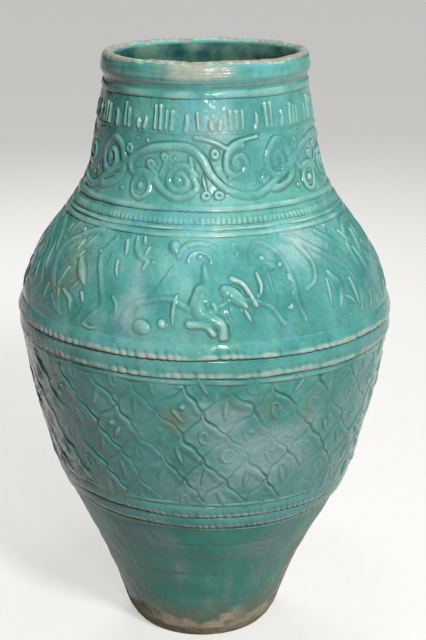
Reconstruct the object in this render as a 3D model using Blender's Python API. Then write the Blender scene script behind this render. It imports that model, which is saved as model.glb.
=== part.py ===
"""Large moulded storage jar, made of luted wall sections and applied strips of clay.

Sizes are in metres, +Z is up, the jar stands on z = 0 and its axis is the Z axis.
Each wall section ends in a tongue that fits a socket in the section above it, with a thin
gap for the slip that luted them. Strips of clay cover the joints on the outside, and coils
of clay are worked over them on the inside. The belly's mould gives it a net of wavy ribs, and
the shoulder's gives it long stems and leaves.
"""

import math
from bisect import bisect_right
from dataclasses import dataclass
from enum import Enum

import bmesh
import bpy
from mathutils import Vector

# Heights of the sections, from the table up to the lip
BASE_THICKNESS = 0.016
LOWER_HEIGHT = 0.201
BELLY_HEIGHT = 0.215
SHOULDER_HEIGHT = 0.143
NECK_HEIGHT = 0.138
GROOVE_HEIGHT = 0.0135
COLLAR_HEIGHT = 0.0235

# Outer radii of the bare wall, at the joints and between them
BASE_RADIUS = 0.101
LOWER_MIDDLE_RADIUS = 0.1386
LOWER_JOINT_RADIUS = 0.1870
BELLY_MIDDLE_RADIUS = 0.2175
BELLY_JOINT_RADIUS = 0.2322
SHOULDER_MIDDLE_RADIUS = 0.2112
SHOULDER_JOINT_RADIUS = 0.1605
NECK_FLARE_RADIUS = 0.1435
NECK_MIDDLE_RADIUS = 0.1362
NECK_JOINT_RADIUS = 0.1243
FOOT_SLOPE = 0.26

# Wall thickness, which thins from the foot to the neck
FOOT_WALL = 0.016
BELLY_WALL = 0.013
NECK_WALL = 0.0115

# Luted joints
SLIP_GAP = 0.0003
JOINT_LAP = 0.008
TONGUE_THICKNESS = 0.0055
BASE_PLUG_HEIGHT = 0.005

# Worn edge of the foot
FOOT_BEVEL = 0.0105
FOOT_ROUNDNESS = 0.85

# Rim: groove, rounded collar and lip
GROOVE_DEPTH = 0.0007
COLLAR_BULGE = 0.0034
COLLAR_ROUND = 0.0065
LIP_SETBACK = 0.0015
LIP_WIDTH = 0.0065
LIP_ROUND = 0.0045

# Applied strips: height up the wall and how far each stands out
NECK_RING_HEIGHT = 0.0105
NECK_RING_PROUD = 0.0022
BEAD_CORD_HEIGHT = 0.0085
BEAD_CORD_PROUD = 0.0028
NECK_ROLL_HEIGHT = 0.0075
NECK_ROLL_PROUD = 0.0024
NECK_ROLL_SPACING = 0.0046
SHOULDER_FILLET_HEIGHT = 0.0038
SHOULDER_FILLET_PROUD = 0.0018
SHOULDER_FILLET_SPACING = 0.0014
DOUBLE_FILLET_HEIGHT = 0.0056
SHOULDER_CORDON_HEIGHT = 0.020
SHOULDER_CORDON_PROUD = 0.005
BELLY_CORDON_HEIGHT = 0.0225
BELLY_CORDON_PROUD = 0.0042
BELLY_FILLET_HEIGHT = 0.008
BELLY_FILLET_PROUD = 0.0018
LOWER_CORDON_HEIGHT = 0.0168
LOWER_CORDON_PROUD = 0.004
LOWER_FILLET_HEIGHT = 0.0062
LOWER_FILLET_PROUD = 0.0022
FOOT_FILLET_HEIGHT = 0.0036
FOOT_FILLET_PROUD = 0.0012
FOOT_FILLET_SPACING = 0.0022
CORDON_FEATHER = 0.0010
CORDON_EDGE = 0.0045
CORDON_SWELL = 0.75
CORDON_UNDERCUT = 0.0012
ROLL_ARC = math.radians(70)

# Moulded net of wavy ribs on the belly
NET_CELLS = 26
NET_ROWS = 5
NET_BORDER = 0.0026
NET_CLEARANCE = 0.0005
RIB_HEIGHT = 0.0017
RIB_HALF_WIDTH = 0.0028
RIB_BENDS = (0.3, 0.7)

# Moulded stems and leaves on the shoulder, in panels that repeat round the jar
PANELS = 3
STEM_HEIGHT = 0.0024
STEM_HALF_WIDTH = 0.0068
LEAF_HALF_WIDTH = 0.0105
STEM_ROOT = 0.003
STEM_END = 0.0012
STEM_EASE = 1 / 16

# Coils worked over the joints on the inside
BASE_COIL = 0.009
SEAM_COIL_HEIGHT = 0.022
SEAM_COIL_PROUD = 0.004
COIL_FLANK = 0.28

# Mesh fineness
SEGMENTS = 40
ARC_POINTS = 4
LOWER_ROWS = 5
BELLY_ROWS = 6
SHOULDER_ROWS = 6
NECK_ROWS = 7
MERGE_DISTANCE = 0.000001
NET_DIGITS = 3
SHARP_ANGLE = math.radians(38)

# Heights of the joints
LOWER_JOINT = BASE_THICKNESS + LOWER_HEIGHT
BELLY_JOINT = LOWER_JOINT + BELLY_HEIGHT
SHOULDER_JOINT = BELLY_JOINT + SHOULDER_HEIGHT
NECK_JOINT = SHOULDER_JOINT + NECK_HEIGHT
COLLAR_FOOT = NECK_JOINT + GROOVE_HEIGHT
LIP_TOP = COLLAR_FOOT + COLLAR_HEIGHT

# Edges of the strips next to the moulded zones, and the zones between them
LOWER_FILLET_BOTTOM = LOWER_JOINT + LOWER_CORDON_HEIGHT + SLIP_GAP
BELLY_CORDON_BOTTOM = BELLY_JOINT - SLIP_GAP - BELLY_CORDON_HEIGHT
BELLY_FILLET_BOTTOM = BELLY_CORDON_BOTTOM - SLIP_GAP - BELLY_FILLET_HEIGHT
BEAD_CORD_BOTTOM = SHOULDER_JOINT - BEAD_CORD_HEIGHT / 2
UPPER_FILLET_BOTTOM = BEAD_CORD_BOTTOM - SHOULDER_FILLET_SPACING - SHOULDER_FILLET_HEIGHT
DOUBLE_FILLET_BOTTOM = UPPER_FILLET_BOTTOM - SHOULDER_FILLET_SPACING - DOUBLE_FILLET_HEIGHT
NET_BOTTOM = LOWER_FILLET_BOTTOM + LOWER_FILLET_HEIGHT + NET_CLEARANCE
NET_TOP = BELLY_FILLET_BOTTOM - NET_CLEARANCE
STEMS_BOTTOM = BELLY_JOINT + SHOULDER_CORDON_HEIGHT
STEMS_TOP = DOUBLE_FILLET_BOTTOM

# Courses of the stems and leaves in one panel: degrees from its middle, shares of the zone's height
STEM_COURSES = (
    ((-42, 0.96), (-54, 0.88), (-59.4, 0.69), (-57, 0.44), (-48, 0.08)),
    ((-35, 0.93), (-38.6, 0.74), (-34.4, 0.49), (-32.4, 0.27), (-37.5, 0.09)),
    ((-9, 0.82), (-6.6, 0.91), (-1.6, 0.95), (3.4, 0.91), (6, 0.82)),
    ((-25, 0.17), (-21, 0.34), (-10, 0.41), (0, 0.3), (10, 0.41), (20, 0.34), (24, 0.17)),
    ((22.4, 0.7), (15.8, 0.79), (19.6, 0.93), (25.4, 0.83), (29.2, 0.55), (28.4, 0.36), (31, 0.14)),
    ((29, 0.96), (42, 0.81), (53, 0.54), (56.6, 0.33), (54.4, 0.1)),
    ((35, 0.88), (38.8, 0.68), (36.6, 0.52), (32.6, 0.44)),
)
LEAF_COURSES = (
    ((-26, 0.97), (-24.6, 0.86), (-18, 0.71)),
    ((-46, 0.68), (-43.4, 0.57), (-40.6, 0.44)),
    ((0, 0.42), (0, 0.58), (0, 0.77)),
    ((46.5, 0.95), (53, 0.8), (58.4, 0.64)),
    ((44, 0.56), (46.8, 0.42), (44.6, 0.2)),
)

# Colours from the object: turquoise glaze, its shades, and the bare clay
GLAZE_BRIGHT = (0.115, 0.360, 0.325)
GLAZE_DEEP = (0.075, 0.270, 0.245)
GLAZE_GREY = (0.110, 0.240, 0.205)
CLAY = (0.360, 0.270, 0.190)
GLAZE_ROUGHNESS = 0.28
CLAY_ROUGHNESS = 0.85


class StripShape(Enum):
    """The cross-sections of the applied strips."""

    CORDON = "flares downwards to a heavy lower edge"
    ROLL = "evenly rounded"


@dataclass(frozen=True)
class Section:
    """One luted section of the wall, between two joints."""

    name: str
    bottom: float
    top: float
    rows: int


@dataclass(frozen=True)
class Strip:
    """One strip of clay laid round the outside of the wall."""

    name: str
    bottom: float
    height: float
    proud: float
    shape: StripShape

    @property
    def top(self):
        return self.bottom + self.height


SECTIONS = (
    Section("lower_wall", BASE_THICKNESS, LOWER_JOINT, LOWER_ROWS),
    Section("belly_wall", LOWER_JOINT, BELLY_JOINT, BELLY_ROWS),
    Section("shoulder_wall", BELLY_JOINT, SHOULDER_JOINT, SHOULDER_ROWS),
    Section("neck_wall", SHOULDER_JOINT, NECK_JOINT, NECK_ROWS),
)


def between(low, high, share):
    """The value that lies a share of the way from low to high."""
    return low + (high - low) * share


def spread(first, last, count):
    """Evenly spaced values from first to last."""
    return [between(first, last, i / (count - 1)) for i in range(count)]


def along(rows, height):
    """Radius at a height on a polyline of (height, radius) rows."""
    heights = [row[0] for row in rows]
    upper = min(max(bisect_right(heights, height), 1), len(rows) - 1)
    (low_z, low_r), (high_z, high_r) = rows[upper - 1], rows[upper]
    return between(low_r, high_r, (height - low_z) / (high_z - low_z))


def wall_stations():
    """Heights and radii that the wall's outer curve passes through, with its slopes."""
    middle_neck = (SHOULDER_JOINT + NECK_JOINT) / 2
    points = [
        (BASE_THICKNESS, BASE_RADIUS),
        ((BASE_THICKNESS + LOWER_JOINT) / 2, LOWER_MIDDLE_RADIUS),
        (LOWER_JOINT, LOWER_JOINT_RADIUS),
        ((LOWER_JOINT + BELLY_JOINT) / 2, BELLY_MIDDLE_RADIUS),
        (BELLY_JOINT, BELLY_JOINT_RADIUS),
        ((BELLY_JOINT + SHOULDER_JOINT) / 2, SHOULDER_MIDDLE_RADIUS),
        (SHOULDER_JOINT, SHOULDER_JOINT_RADIUS),
        ((SHOULDER_JOINT + middle_neck) / 2, NECK_FLARE_RADIUS),
        (middle_neck, NECK_MIDDLE_RADIUS),
        (NECK_JOINT, NECK_JOINT_RADIUS),
    ]
    last = len(points) - 1
    stations = [(*points[0], FOOT_SLOPE)]
    for i in range(1, len(points)):
        below = points[i - 1]
        above = points[min(i + 1, last)]
        stations.append((*points[i], (above[1] - below[1]) / (above[0] - below[0])))
    return stations


STATIONS = wall_stations()


def wall_point(height):
    """Outer radius and slope of the smooth wall curve at a height."""
    heights = [station[0] for station in STATIONS]
    upper = min(max(bisect_right(heights, height), 1), len(STATIONS) - 1)
    low_z, low_r, low_slope = STATIONS[upper - 1]
    high_z, high_r, high_slope = STATIONS[upper]
    span = high_z - low_z
    t = (height - low_z) / span
    if t > 1.0:
        return high_r + high_slope * (height - high_z), high_slope
    rise = 3 * t**2 - 2 * t**3
    radius = between(low_r, high_r, rise)
    radius += span * (low_slope * t * (1 - t) ** 2 - high_slope * t**2 * (1 - t))
    slope = (high_r - low_r) / span * 6 * t * (1 - t)
    slope += low_slope * (1 - t) * (1 - 3 * t) - high_slope * t * (2 - 3 * t)
    return radius, slope


def wall_thickness(height):
    """Thickness of the wall, square to its surface."""
    if height < BELLY_JOINT:
        share = (height - BASE_THICKNESS) / (BELLY_JOINT - BASE_THICKNESS)
        return between(FOOT_WALL, BELLY_WALL, share)
    share = min((height - BELLY_JOINT) / (NECK_JOINT - BELLY_JOINT), 1.0)
    return between(BELLY_WALL, NECK_WALL, share)


def inner_radius(height):
    """Radius of the wall's inner surface."""
    radius, slope = wall_point(height)
    return radius - wall_thickness(height) * math.hypot(1, slope)


def tongue_radius(height):
    """Radius of the outer face of a joint's tongue."""
    slope = wall_point(height)[1]
    return inner_radius(height) + TONGUE_THICKNESS * math.hypot(1, slope)


def outer_rows(section):
    """Rows of a section's outer face, bottom to top."""
    heights = spread(section.bottom + SLIP_GAP, section.top, section.rows)
    return [(z, wall_point(z)[0]) for z in heights]


def inner_rows(section):
    """Rows of a section's inner face, bottom to top."""
    start = section.bottom + SLIP_GAP
    if section.bottom > BASE_THICKNESS:
        start += JOINT_LAP
    heights = spread(start, section.top + JOINT_LAP, section.rows)
    return [(z, inner_radius(z)) for z in heights]


OUTER_ROWS = [row for section in SECTIONS for row in outer_rows(section)]
INNER_ROWS = [row for section in SECTIONS for row in inner_rows(section)]
GROOVE_RADIUS = NECK_JOINT_RADIUS - GROOVE_DEPTH
GROOVE_START = NECK_JOINT + NECK_RING_HEIGHT / 2
OUTER_ROWS.append((GROOVE_START, GROOVE_RADIUS))


def glazed(name, colour):
    """A glazed material of its own for one piece."""
    return principled(name + "_glaze", colour, GLAZE_ROUGHNESS)


def bare_clay(name):
    """A bare clay material of its own for one piece."""
    return principled(name + "_clay", CLAY, CLAY_ROUGHNESS)


def principled(name, colour, roughness):
    """A material with one plain colour and roughness."""
    material = bpy.data.materials.new(name)
    material.use_nodes = True
    shader = material.node_tree.nodes["Principled BSDF"]
    shader.inputs["Base Color"].default_value = (*colour, 1.0)
    shader.inputs["Roughness"].default_value = roughness
    shader.inputs["Metallic"].default_value = 0.0
    material.diffuse_color = (*colour, 1.0)
    return material


def spun(outline, closed=True):
    """Turns an outline of (radius, height) points about the jar's axis."""
    bm = bmesh.new()
    verts = [bm.verts.new((r, 0.0, z)) for r, z in outline]
    edges = [bm.edges.new(pair) for pair in zip(verts, verts[1:])]
    if closed:
        edges.append(bm.edges.new((verts[-1], verts[0])))
    bmesh.ops.spin(
        bm,
        geom=verts + edges,
        cent=(0, 0, 0),
        axis=(0, 0, 1),
        angle=math.tau,
        steps=SEGMENTS,
        use_merge=True,
    )
    bmesh.ops.remove_doubles(bm, verts=bm.verts, dist=MERGE_DISTANCE)
    return bm


def placed(name, bm, material, parent):
    """Makes one solid piece of a closed mesh, with its origin on the axis at its foot."""
    seat = min(vert.co.z for vert in bm.verts)
    bmesh.ops.translate(bm, verts=bm.verts, vec=(0.0, 0.0, -seat))
    bmesh.ops.recalc_face_normals(bm, faces=bm.faces)
    mesh = bpy.data.meshes.new(name)
    bm.to_mesh(mesh)
    bm.free()
    mesh.shade_smooth()
    mesh.set_sharp_from_angle(angle=SHARP_ANGLE)
    mesh.materials.append(material)
    piece = bpy.data.objects.new(name, mesh)
    piece.location = (0.0, 0.0, seat)
    piece.parent = parent
    bpy.context.scene.collection.objects.link(piece)
    return piece


def turned(name, outline, material, parent, closed=True):
    """One solid piece, turned from an outline of (radius, height) points."""
    return placed(name, spun(outline, closed), material, parent)


def on_wall(angle, height, proud=0.0):
    """A point at an angle from the front, proud of the wall's outer curve at a height."""
    radius, slope = wall_point(height)
    tilt = math.hypot(1, slope)
    reach = radius + proud / tilt
    return Vector((reach * math.sin(angle), -reach * math.cos(angle), height - proud * slope / tilt))


def socket_outline(joint):
    """Points of the socket at the bottom of a section, from the inside outwards."""
    floor = joint + SLIP_GAP
    ceiling = floor + JOINT_LAP
    return [
        (inner_radius(ceiling), ceiling),
        (tongue_radius(ceiling) + SLIP_GAP, ceiling),
        (tongue_radius(floor) + SLIP_GAP, floor),
    ]


def tongue_outline(joint):
    """Points of the tongue at the top of a section, from the outside inwards."""
    tip = joint + JOINT_LAP
    return [
        (tongue_radius(joint), joint),
        (tongue_radius(tip), tip),
        (inner_radius(tip), tip),
    ]


def base_disc(parent):
    """The slab under the wall, with a worn edge and a plug that centres the wall."""
    plug_radius = inner_radius(BASE_THICKNESS + SLIP_GAP) - SLIP_GAP
    floor = BASE_THICKNESS + BASE_PLUG_HEIGHT
    outline = [(0.0, 0.0)]
    for share in spread(0.0, 1.0, ARC_POINTS):
        radius = BASE_RADIUS - FOOT_BEVEL * (1 - share**FOOT_ROUNDNESS)
        outline.append((radius, BASE_THICKNESS * share))
    outline += [
        (plug_radius, BASE_THICKNESS),
        (plug_radius, floor),
        (0.0, floor),
    ]
    return turned("base_disc", outline, bare_clay("base_disc"), parent, closed=False)


def inside_outline(section):
    """Points of a section from its tongue, down its inner face, to its socket."""
    outline = tongue_outline(section.top)
    inside = [(r, z) for z, r in reversed(inner_rows(section))]
    if section.bottom > BASE_THICKNESS:
        return outline + inside[1:-1] + socket_outline(section.bottom)
    return outline + inside[1:]


def wall_section(section, colour, parent):
    """A ring of the wall with its socket below, if it has one, and its tongue above."""
    outline = [(r, z) for z, r in outer_rows(section)] + inside_outline(section)
    return turned(section.name, outline, glazed(section.name, colour), parent)


def rib_points(start, end):
    """Places of one rib from a crossing to the next, which leaves and meets them upright."""
    points = [start]
    for share in RIB_BENDS:
        sway = share - math.sin(math.tau * share) / math.tau
        points.append((between(start[0], end[0], sway), between(start[1], end[1], share)))
    return points


def net_cells():
    """Outlines of the net's cells in columns and rows, with half cells along its borders."""
    cells = []
    for row in range(NET_ROWS + 1):
        for i in range(NET_CELLS):
            column = i + (row + 1) % 2 / 2
            left, right = (column - 0.5, row), (column + 0.5, row)
            below, above = (column, row - 1), (column, row + 1)
            lower = rib_points(left, below) + rib_points(below, right)
            upper = rib_points(right, above) + rib_points(above, left)
            if row == 0:
                lower = [left, (column, row)]
            if row == NET_ROWS:
                upper = [right, (column, row)]
            cells.append(lower + upper)
    return cells


def net_verts(bm, outline, known):
    """Vertices of one cell's outline, shared with the cells beside it."""
    verts = []
    for column, row in outline:
        key = (round(column % NET_CELLS, NET_DIGITS) % NET_CELLS, round(row, NET_DIGITS))
        if key not in known:
            height = between(NET_BOTTOM + NET_BORDER, NET_TOP - NET_BORDER, row / NET_ROWS)
            proud = RIB_HEIGHT if 0 < row < NET_ROWS else 0.0
            known[key] = bm.verts.new(on_wall(math.tau * column / NET_CELLS, height, proud))
        verts.append(known[key])
    return verts


def sink(verts):
    """Moves vertices straight in, onto the wall's outer curve."""
    for vert in verts:
        share = wall_point(vert.co.z)[0] / vert.co.xy.length
        vert.co.xy *= share


def add_net(bm):
    """Adds the net: each cell is inset from its ribs, and its floor is sunk to the wall."""
    known = {}
    cells = [bm.faces.new(net_verts(bm, outline, known)) for outline in net_cells()]
    bmesh.ops.recalc_face_normals(bm, faces=cells)
    bmesh.ops.inset_individual(bm, faces=cells, thickness=RIB_HALF_WIDTH, use_even_offset=True)
    sink({vert for cell in cells for vert in cell.verts})
    sink(bmesh.ops.poke(bm, faces=cells)["verts"])


def belly_wall(section, colour, parent):
    """The belly: a ring of the wall whose outer face carries the net between its strips."""
    rows = [(r, z) for z, r in outer_rows(section)]
    outline = [(along(OUTER_ROWS, NET_TOP), NET_TOP)]
    outline += [row for row in rows if row[1] > NET_TOP]
    outline += inside_outline(section)
    outline += [row for row in rows if row[1] < NET_BOTTOM]
    outline.append((along(OUTER_ROWS, NET_BOTTOM), NET_BOTTOM))
    bm = spun(outline, closed=False)
    add_net(bm)
    middle = (NET_BOTTOM + NET_TOP) / 2
    borders = [edge for edge in bm.edges if edge.is_boundary]
    lower = [edge for edge in borders if edge.verts[0].co.z < middle]
    upper = [edge for edge in borders if edge.verts[0].co.z > middle]
    bmesh.ops.bridge_loops(bm, edges=lower)
    bmesh.ops.bridge_loops(bm, edges=upper)
    return placed(section.name, bm, glazed(section.name, colour), parent)


def eased(course):
    """A course with a point more between each two of its points, on a smooth curve."""
    points = [course[0], *course, course[-1]]
    smooth = []
    for before, start, end, after in zip(points, points[1:], points[2:], points[3:]):
        middle = [
            (b + c) / 2 + STEM_EASE * (b + c - a - d)
            for a, b, c, d in zip(before, start, end, after)
        ]
        smooth += [start, middle]
    return [*smooth, course[-1]]


def stem_mesh(course, half_width, turn):
    """A ridge along one course in one panel, rooted in the wall and sinking into it at its ends."""
    points = []
    for degrees, share in eased(course):
        angle = math.radians(degrees) + turn * math.tau / PANELS
        points.append((angle, between(STEMS_BOTTOM, STEMS_TOP, share)))
    places = [on_wall(*point) for point in points]
    bm = bmesh.new()
    rings = []
    last = len(points) - 1
    for i, point in enumerate(points):
        out = (places[i] - on_wall(*point, -STEM_ROOT)).normalized()
        way = places[min(i + 1, last)] - places[max(i - 1, 0)]
        side = way.cross(out).normalized() * half_width
        root = places[i] - out * STEM_ROOT
        crest = places[i] + out * (STEM_HEIGHT if 0 < i < last else -STEM_END)
        rings.append([bm.verts.new(corner) for corner in (crest, root + side, root - side)])
    bm.faces.new(rings[0])
    bm.faces.new(rings[-1])
    for ring, after in zip(rings, rings[1:]):
        for k in range(len(ring)):
            beside = (k + 1) % len(ring)
            bm.faces.new((ring[k], after[k], after[beside], ring[beside]))
    bmesh.ops.recalc_face_normals(bm, faces=bm.faces)
    mesh = bpy.data.meshes.new("stem")
    bm.to_mesh(mesh)
    bm.free()
    return mesh


def shoulder_wall(section, colour, parent):
    """The shoulder: a ring of the wall with its stems and leaves united to it."""
    piece = wall_section(section, colour, parent)
    stems = bpy.data.collections.new("stems")
    bpy.context.scene.collection.children.link(stems)
    courses = [(course, STEM_HALF_WIDTH) for course in STEM_COURSES]
    courses += [(course, LEAF_HALF_WIDTH) for course in LEAF_COURSES]
    for turn in range(PANELS):
        for course, half_width in courses:
            guide = bpy.data.objects.new("stem", stem_mesh(course, half_width, turn))
            guide.hide_render = True
            guide.display_type = "WIRE"
            stems.objects.link(guide)
    union = piece.modifiers.new("stems", "BOOLEAN")
    union.operation = "UNION"
    union.operand_type = "COLLECTION"
    union.collection = stems
    union.solver = "EXACT"
    return piece


def rim_collar(parent):
    """The groove, the rounded collar and the lip, in one ring over the neck's tongue."""
    lip_outer = GROOVE_RADIUS - LIP_SETBACK
    lip_inner = lip_outer - LIP_WIDTH
    bore = inner_radius(NECK_JOINT + JOINT_LAP)
    crest = COLLAR_FOOT + COLLAR_ROUND
    outline = [
        (along(OUTER_ROWS, NECK_JOINT + SLIP_GAP), NECK_JOINT + SLIP_GAP),
        (GROOVE_RADIUS, GROOVE_START),
        (GROOVE_RADIUS, (GROOVE_START + COLLAR_FOOT) / 2),
        (GROOVE_RADIUS + COLLAR_BULGE / 2, COLLAR_FOOT),
    ]
    for angle in spread(0.0, math.pi / 2, ARC_POINTS):
        radius = lip_outer + (GROOVE_RADIUS + COLLAR_BULGE - lip_outer) * math.cos(angle)
        outline.append((radius, crest + (LIP_TOP - crest) * math.sin(angle)))
    outline += [(lip_inner, LIP_TOP), (bore, LIP_TOP - LIP_ROUND)]
    outline += socket_outline(NECK_JOINT)
    return turned("rim_collar", outline, glazed("rim_collar", GLAZE_BRIGHT), parent)


def strip_face(strip):
    """Outer points of a strip, from its top edge down to its bottom edge."""
    points = []
    if strip.shape is StripShape.CORDON:
        crest = strip.bottom + CORDON_EDGE
        feather = SLIP_GAP + CORDON_FEATHER
        for share in spread(0.0, 1.0, ARC_POINTS - 1):
            swell = between(feather, strip.proud, share**CORDON_SWELL)
            points.append((between(strip.top, crest, share), swell))
        points.append((strip.bottom, strip.proud - CORDON_UNDERCUT))
    else:
        middle = (strip.bottom + strip.top) / 2
        reach = strip.height / 2 / math.sin(ROLL_ARC)
        for angle in spread(ROLL_ARC, -ROLL_ARC, ARC_POINTS):
            points.append((middle + reach * math.sin(angle), strip.proud * math.cos(angle)))
    return [(along(OUTER_ROWS, z) + proud, z) for z, proud in points]


def strip_seat(bottom, top):
    """Points of the wall's outer face under a strip, from bottom to top."""
    heights = [bottom] + [z for z, _ in OUTER_ROWS if bottom < z < top] + [top]
    return [(along(OUTER_ROWS, z) + SLIP_GAP, z) for z in heights]


def applied_strip(strip, colour, parent):
    """A strip of clay that follows the wall behind it."""
    outline = strip_face(strip) + strip_seat(strip.bottom, strip.top)
    return turned(strip.name, outline, glazed(strip.name, colour), parent)


def neck_strips():
    """The strips at the foot and the top of the neck."""
    ring_bottom = NECK_JOINT - NECK_RING_HEIGHT / 2
    roll_bottom = BEAD_CORD_BOTTOM + BEAD_CORD_HEIGHT + NECK_ROLL_SPACING
    roll = StripShape.ROLL
    return [
        Strip("neck_ring", ring_bottom, NECK_RING_HEIGHT, NECK_RING_PROUD, roll),
        Strip("neck_roll", roll_bottom, NECK_ROLL_HEIGHT, NECK_ROLL_PROUD, roll),
        Strip("neck_bead_cord", BEAD_CORD_BOTTOM, BEAD_CORD_HEIGHT, BEAD_CORD_PROUD, roll),
        Strip(
            "shoulder_fillet_upper",
            UPPER_FILLET_BOTTOM,
            SHOULDER_FILLET_HEIGHT,
            SHOULDER_FILLET_PROUD,
            roll,
        ),
        Strip(
            "shoulder_fillet_lower",
            DOUBLE_FILLET_BOTTOM,
            DOUBLE_FILLET_HEIGHT,
            SHOULDER_FILLET_PROUD,
            roll,
        ),
    ]


def belly_strips():
    """The pair of cordons over the belly joint, and the fillet under them."""
    cordon, roll = StripShape.CORDON, StripShape.ROLL
    return [
        Strip("shoulder_cordon", BELLY_JOINT, SHOULDER_CORDON_HEIGHT, SHOULDER_CORDON_PROUD, cordon),
        Strip("belly_cordon", BELLY_CORDON_BOTTOM, BELLY_CORDON_HEIGHT, BELLY_CORDON_PROUD, cordon),
        Strip("belly_fillet", BELLY_FILLET_BOTTOM, BELLY_FILLET_HEIGHT, BELLY_FILLET_PROUD, roll),
    ]


def lower_strips():
    """The pair of cordons over the lower joint, with a fillet above and one below."""
    cordon_bottom = LOWER_JOINT - SLIP_GAP - LOWER_CORDON_HEIGHT
    foot_fillet = cordon_bottom - FOOT_FILLET_SPACING - FOOT_FILLET_HEIGHT
    cordon, roll = StripShape.CORDON, StripShape.ROLL
    return [
        Strip("lower_fillet", LOWER_FILLET_BOTTOM, LOWER_FILLET_HEIGHT, LOWER_FILLET_PROUD, roll),
        Strip("lower_cordon_upper", LOWER_JOINT, LOWER_CORDON_HEIGHT, LOWER_CORDON_PROUD, cordon),
        Strip("lower_cordon_lower", cordon_bottom, LOWER_CORDON_HEIGHT, LOWER_CORDON_PROUD, cordon),
        Strip("foot_fillet", foot_fillet, FOOT_FILLET_HEIGHT, FOOT_FILLET_PROUD, roll),
    ]


def base_coil(parent):
    """The coil in the angle between the floor and the wall."""
    floor = BASE_THICKNESS + BASE_PLUG_HEIGHT + SLIP_GAP
    outline = [(along(INNER_ROWS, floor) - SLIP_GAP, floor)]
    for angle in spread(math.pi / 2, 0.0, ARC_POINTS):
        z = floor + BASE_COIL * (1 - math.cos(angle))
        radius = along(INNER_ROWS, z) - SLIP_GAP
        outline.append((radius - BASE_COIL * (1 - math.sin(angle)), z))
    return turned("base_seam_coil", outline, bare_clay("base_seam_coil"), parent)


def seam_coil(name, joint, parent):
    """A flattened coil over the inside of a wall joint."""
    middle = joint + JOINT_LAP + SLIP_GAP / 2
    bottom = middle - SEAM_COIL_HEIGHT / 2
    top = middle + SEAM_COIL_HEIGHT / 2
    inside = [z for z, _ in INNER_ROWS if bottom < z < top]
    outline = [(along(INNER_ROWS, z) - SLIP_GAP, z) for z in [bottom, *inside, top]]
    for share in (1 - COIL_FLANK, COIL_FLANK):
        z = between(bottom, top, share)
        outline.append((along(INNER_ROWS, z) - SEAM_COIL_PROUD, z))
    return turned(name, outline, bare_clay(name), parent)


def build_jar():
    """Models every piece of the jar on one axis."""
    axis = bpy.data.objects.new("jar_axis", None)
    bpy.context.scene.collection.objects.link(axis)
    base_disc(axis)
    lower, belly, shoulder, neck = SECTIONS
    wall_section(lower, GLAZE_GREY, axis)
    belly_wall(belly, GLAZE_BRIGHT, axis)
    shoulder_wall(shoulder, GLAZE_BRIGHT, axis)
    wall_section(neck, GLAZE_BRIGHT, axis)
    rim_collar(axis)
    for strip in neck_strips() + belly_strips() + lower_strips():
        applied_strip(strip, GLAZE_DEEP, axis)
    base_coil(axis)
    seam_coil("lower_seam_coil", LOWER_JOINT, axis)
    seam_coil("belly_seam_coil", BELLY_JOINT, axis)
    seam_coil("shoulder_seam_coil", SHOULDER_JOINT, axis)


for old in list(bpy.data.objects):
    bpy.data.objects.remove(old)
build_jar()
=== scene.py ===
"""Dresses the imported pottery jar: turquoise glaze over moulded relief, in a plain studio."""

import logging
import math
from dataclasses import dataclass, field
from enum import Enum

import bpy
import numpy as np
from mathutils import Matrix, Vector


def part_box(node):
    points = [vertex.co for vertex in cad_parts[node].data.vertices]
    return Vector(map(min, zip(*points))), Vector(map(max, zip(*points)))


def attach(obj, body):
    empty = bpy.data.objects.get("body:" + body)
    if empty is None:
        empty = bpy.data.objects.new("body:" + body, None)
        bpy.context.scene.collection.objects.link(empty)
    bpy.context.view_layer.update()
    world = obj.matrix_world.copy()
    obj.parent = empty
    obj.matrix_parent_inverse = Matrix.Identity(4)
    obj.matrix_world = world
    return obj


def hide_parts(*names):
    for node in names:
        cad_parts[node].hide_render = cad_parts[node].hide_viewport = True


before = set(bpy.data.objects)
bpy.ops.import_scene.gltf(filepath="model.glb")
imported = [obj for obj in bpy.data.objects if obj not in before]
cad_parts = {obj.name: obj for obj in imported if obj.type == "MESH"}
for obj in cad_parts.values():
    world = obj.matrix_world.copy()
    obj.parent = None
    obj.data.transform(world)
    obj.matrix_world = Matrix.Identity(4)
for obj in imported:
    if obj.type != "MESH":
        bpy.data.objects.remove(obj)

LOG = logging.getLogger("jar")
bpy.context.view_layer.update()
BODY = "root"
CORNER_CUT = 0.25
MM = 0.001
TURN = 2.0 * math.pi
RIPPLE_GIRTH = 0.19
WALL_NODES = ("lower_wall", "belly_wall", "shoulder_wall", "neck_wall", "rim_collar")
FILLETS = ("neck_ring", "neck_roll", "shoulder_fillet_upper", "shoulder_fillet_lower", "belly_fillet",
           "lower_fillet", "foot_fillet")
CORDONS = {"shoulder_cordon": 132, "belly_cordon": 130, "lower_cordon_upper": 134, "lower_cordon_lower": 130}
COILS = ("base_seam_coil", "lower_seam_coil", "belly_seam_coil", "shoulder_seam_coil")

Place = tuple[float, float]
Points = list[Place]
Colour = tuple[float, float, float, float]
Socket = bpy.types.NodeSocket
Feed = Socket | float | Colour
Feeds = dict[str | int, Feed | tuple[float, float, float]]


def linear(red: int, green: int, blue: int) -> Colour:
    """Turns a colour as it shows on a screen into the linear colour of a shader.

    Args:
        red: Red from 0 to 255.
        green: Green from 0 to 255.
        blue: Blue from 0 to 255.

    Returns:
        The linear colour with full alpha.
    """
    low, slope, lift, power = 0.04045, 12.92, 0.055, 2.4
    found = []
    for part in (red, green, blue):
        share = part / 255.0
        found.append(share / slope if share <= low else ((share + lift) / (1.0 + lift)) ** power)
    return (found[0], found[1], found[2], 1.0)


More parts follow.
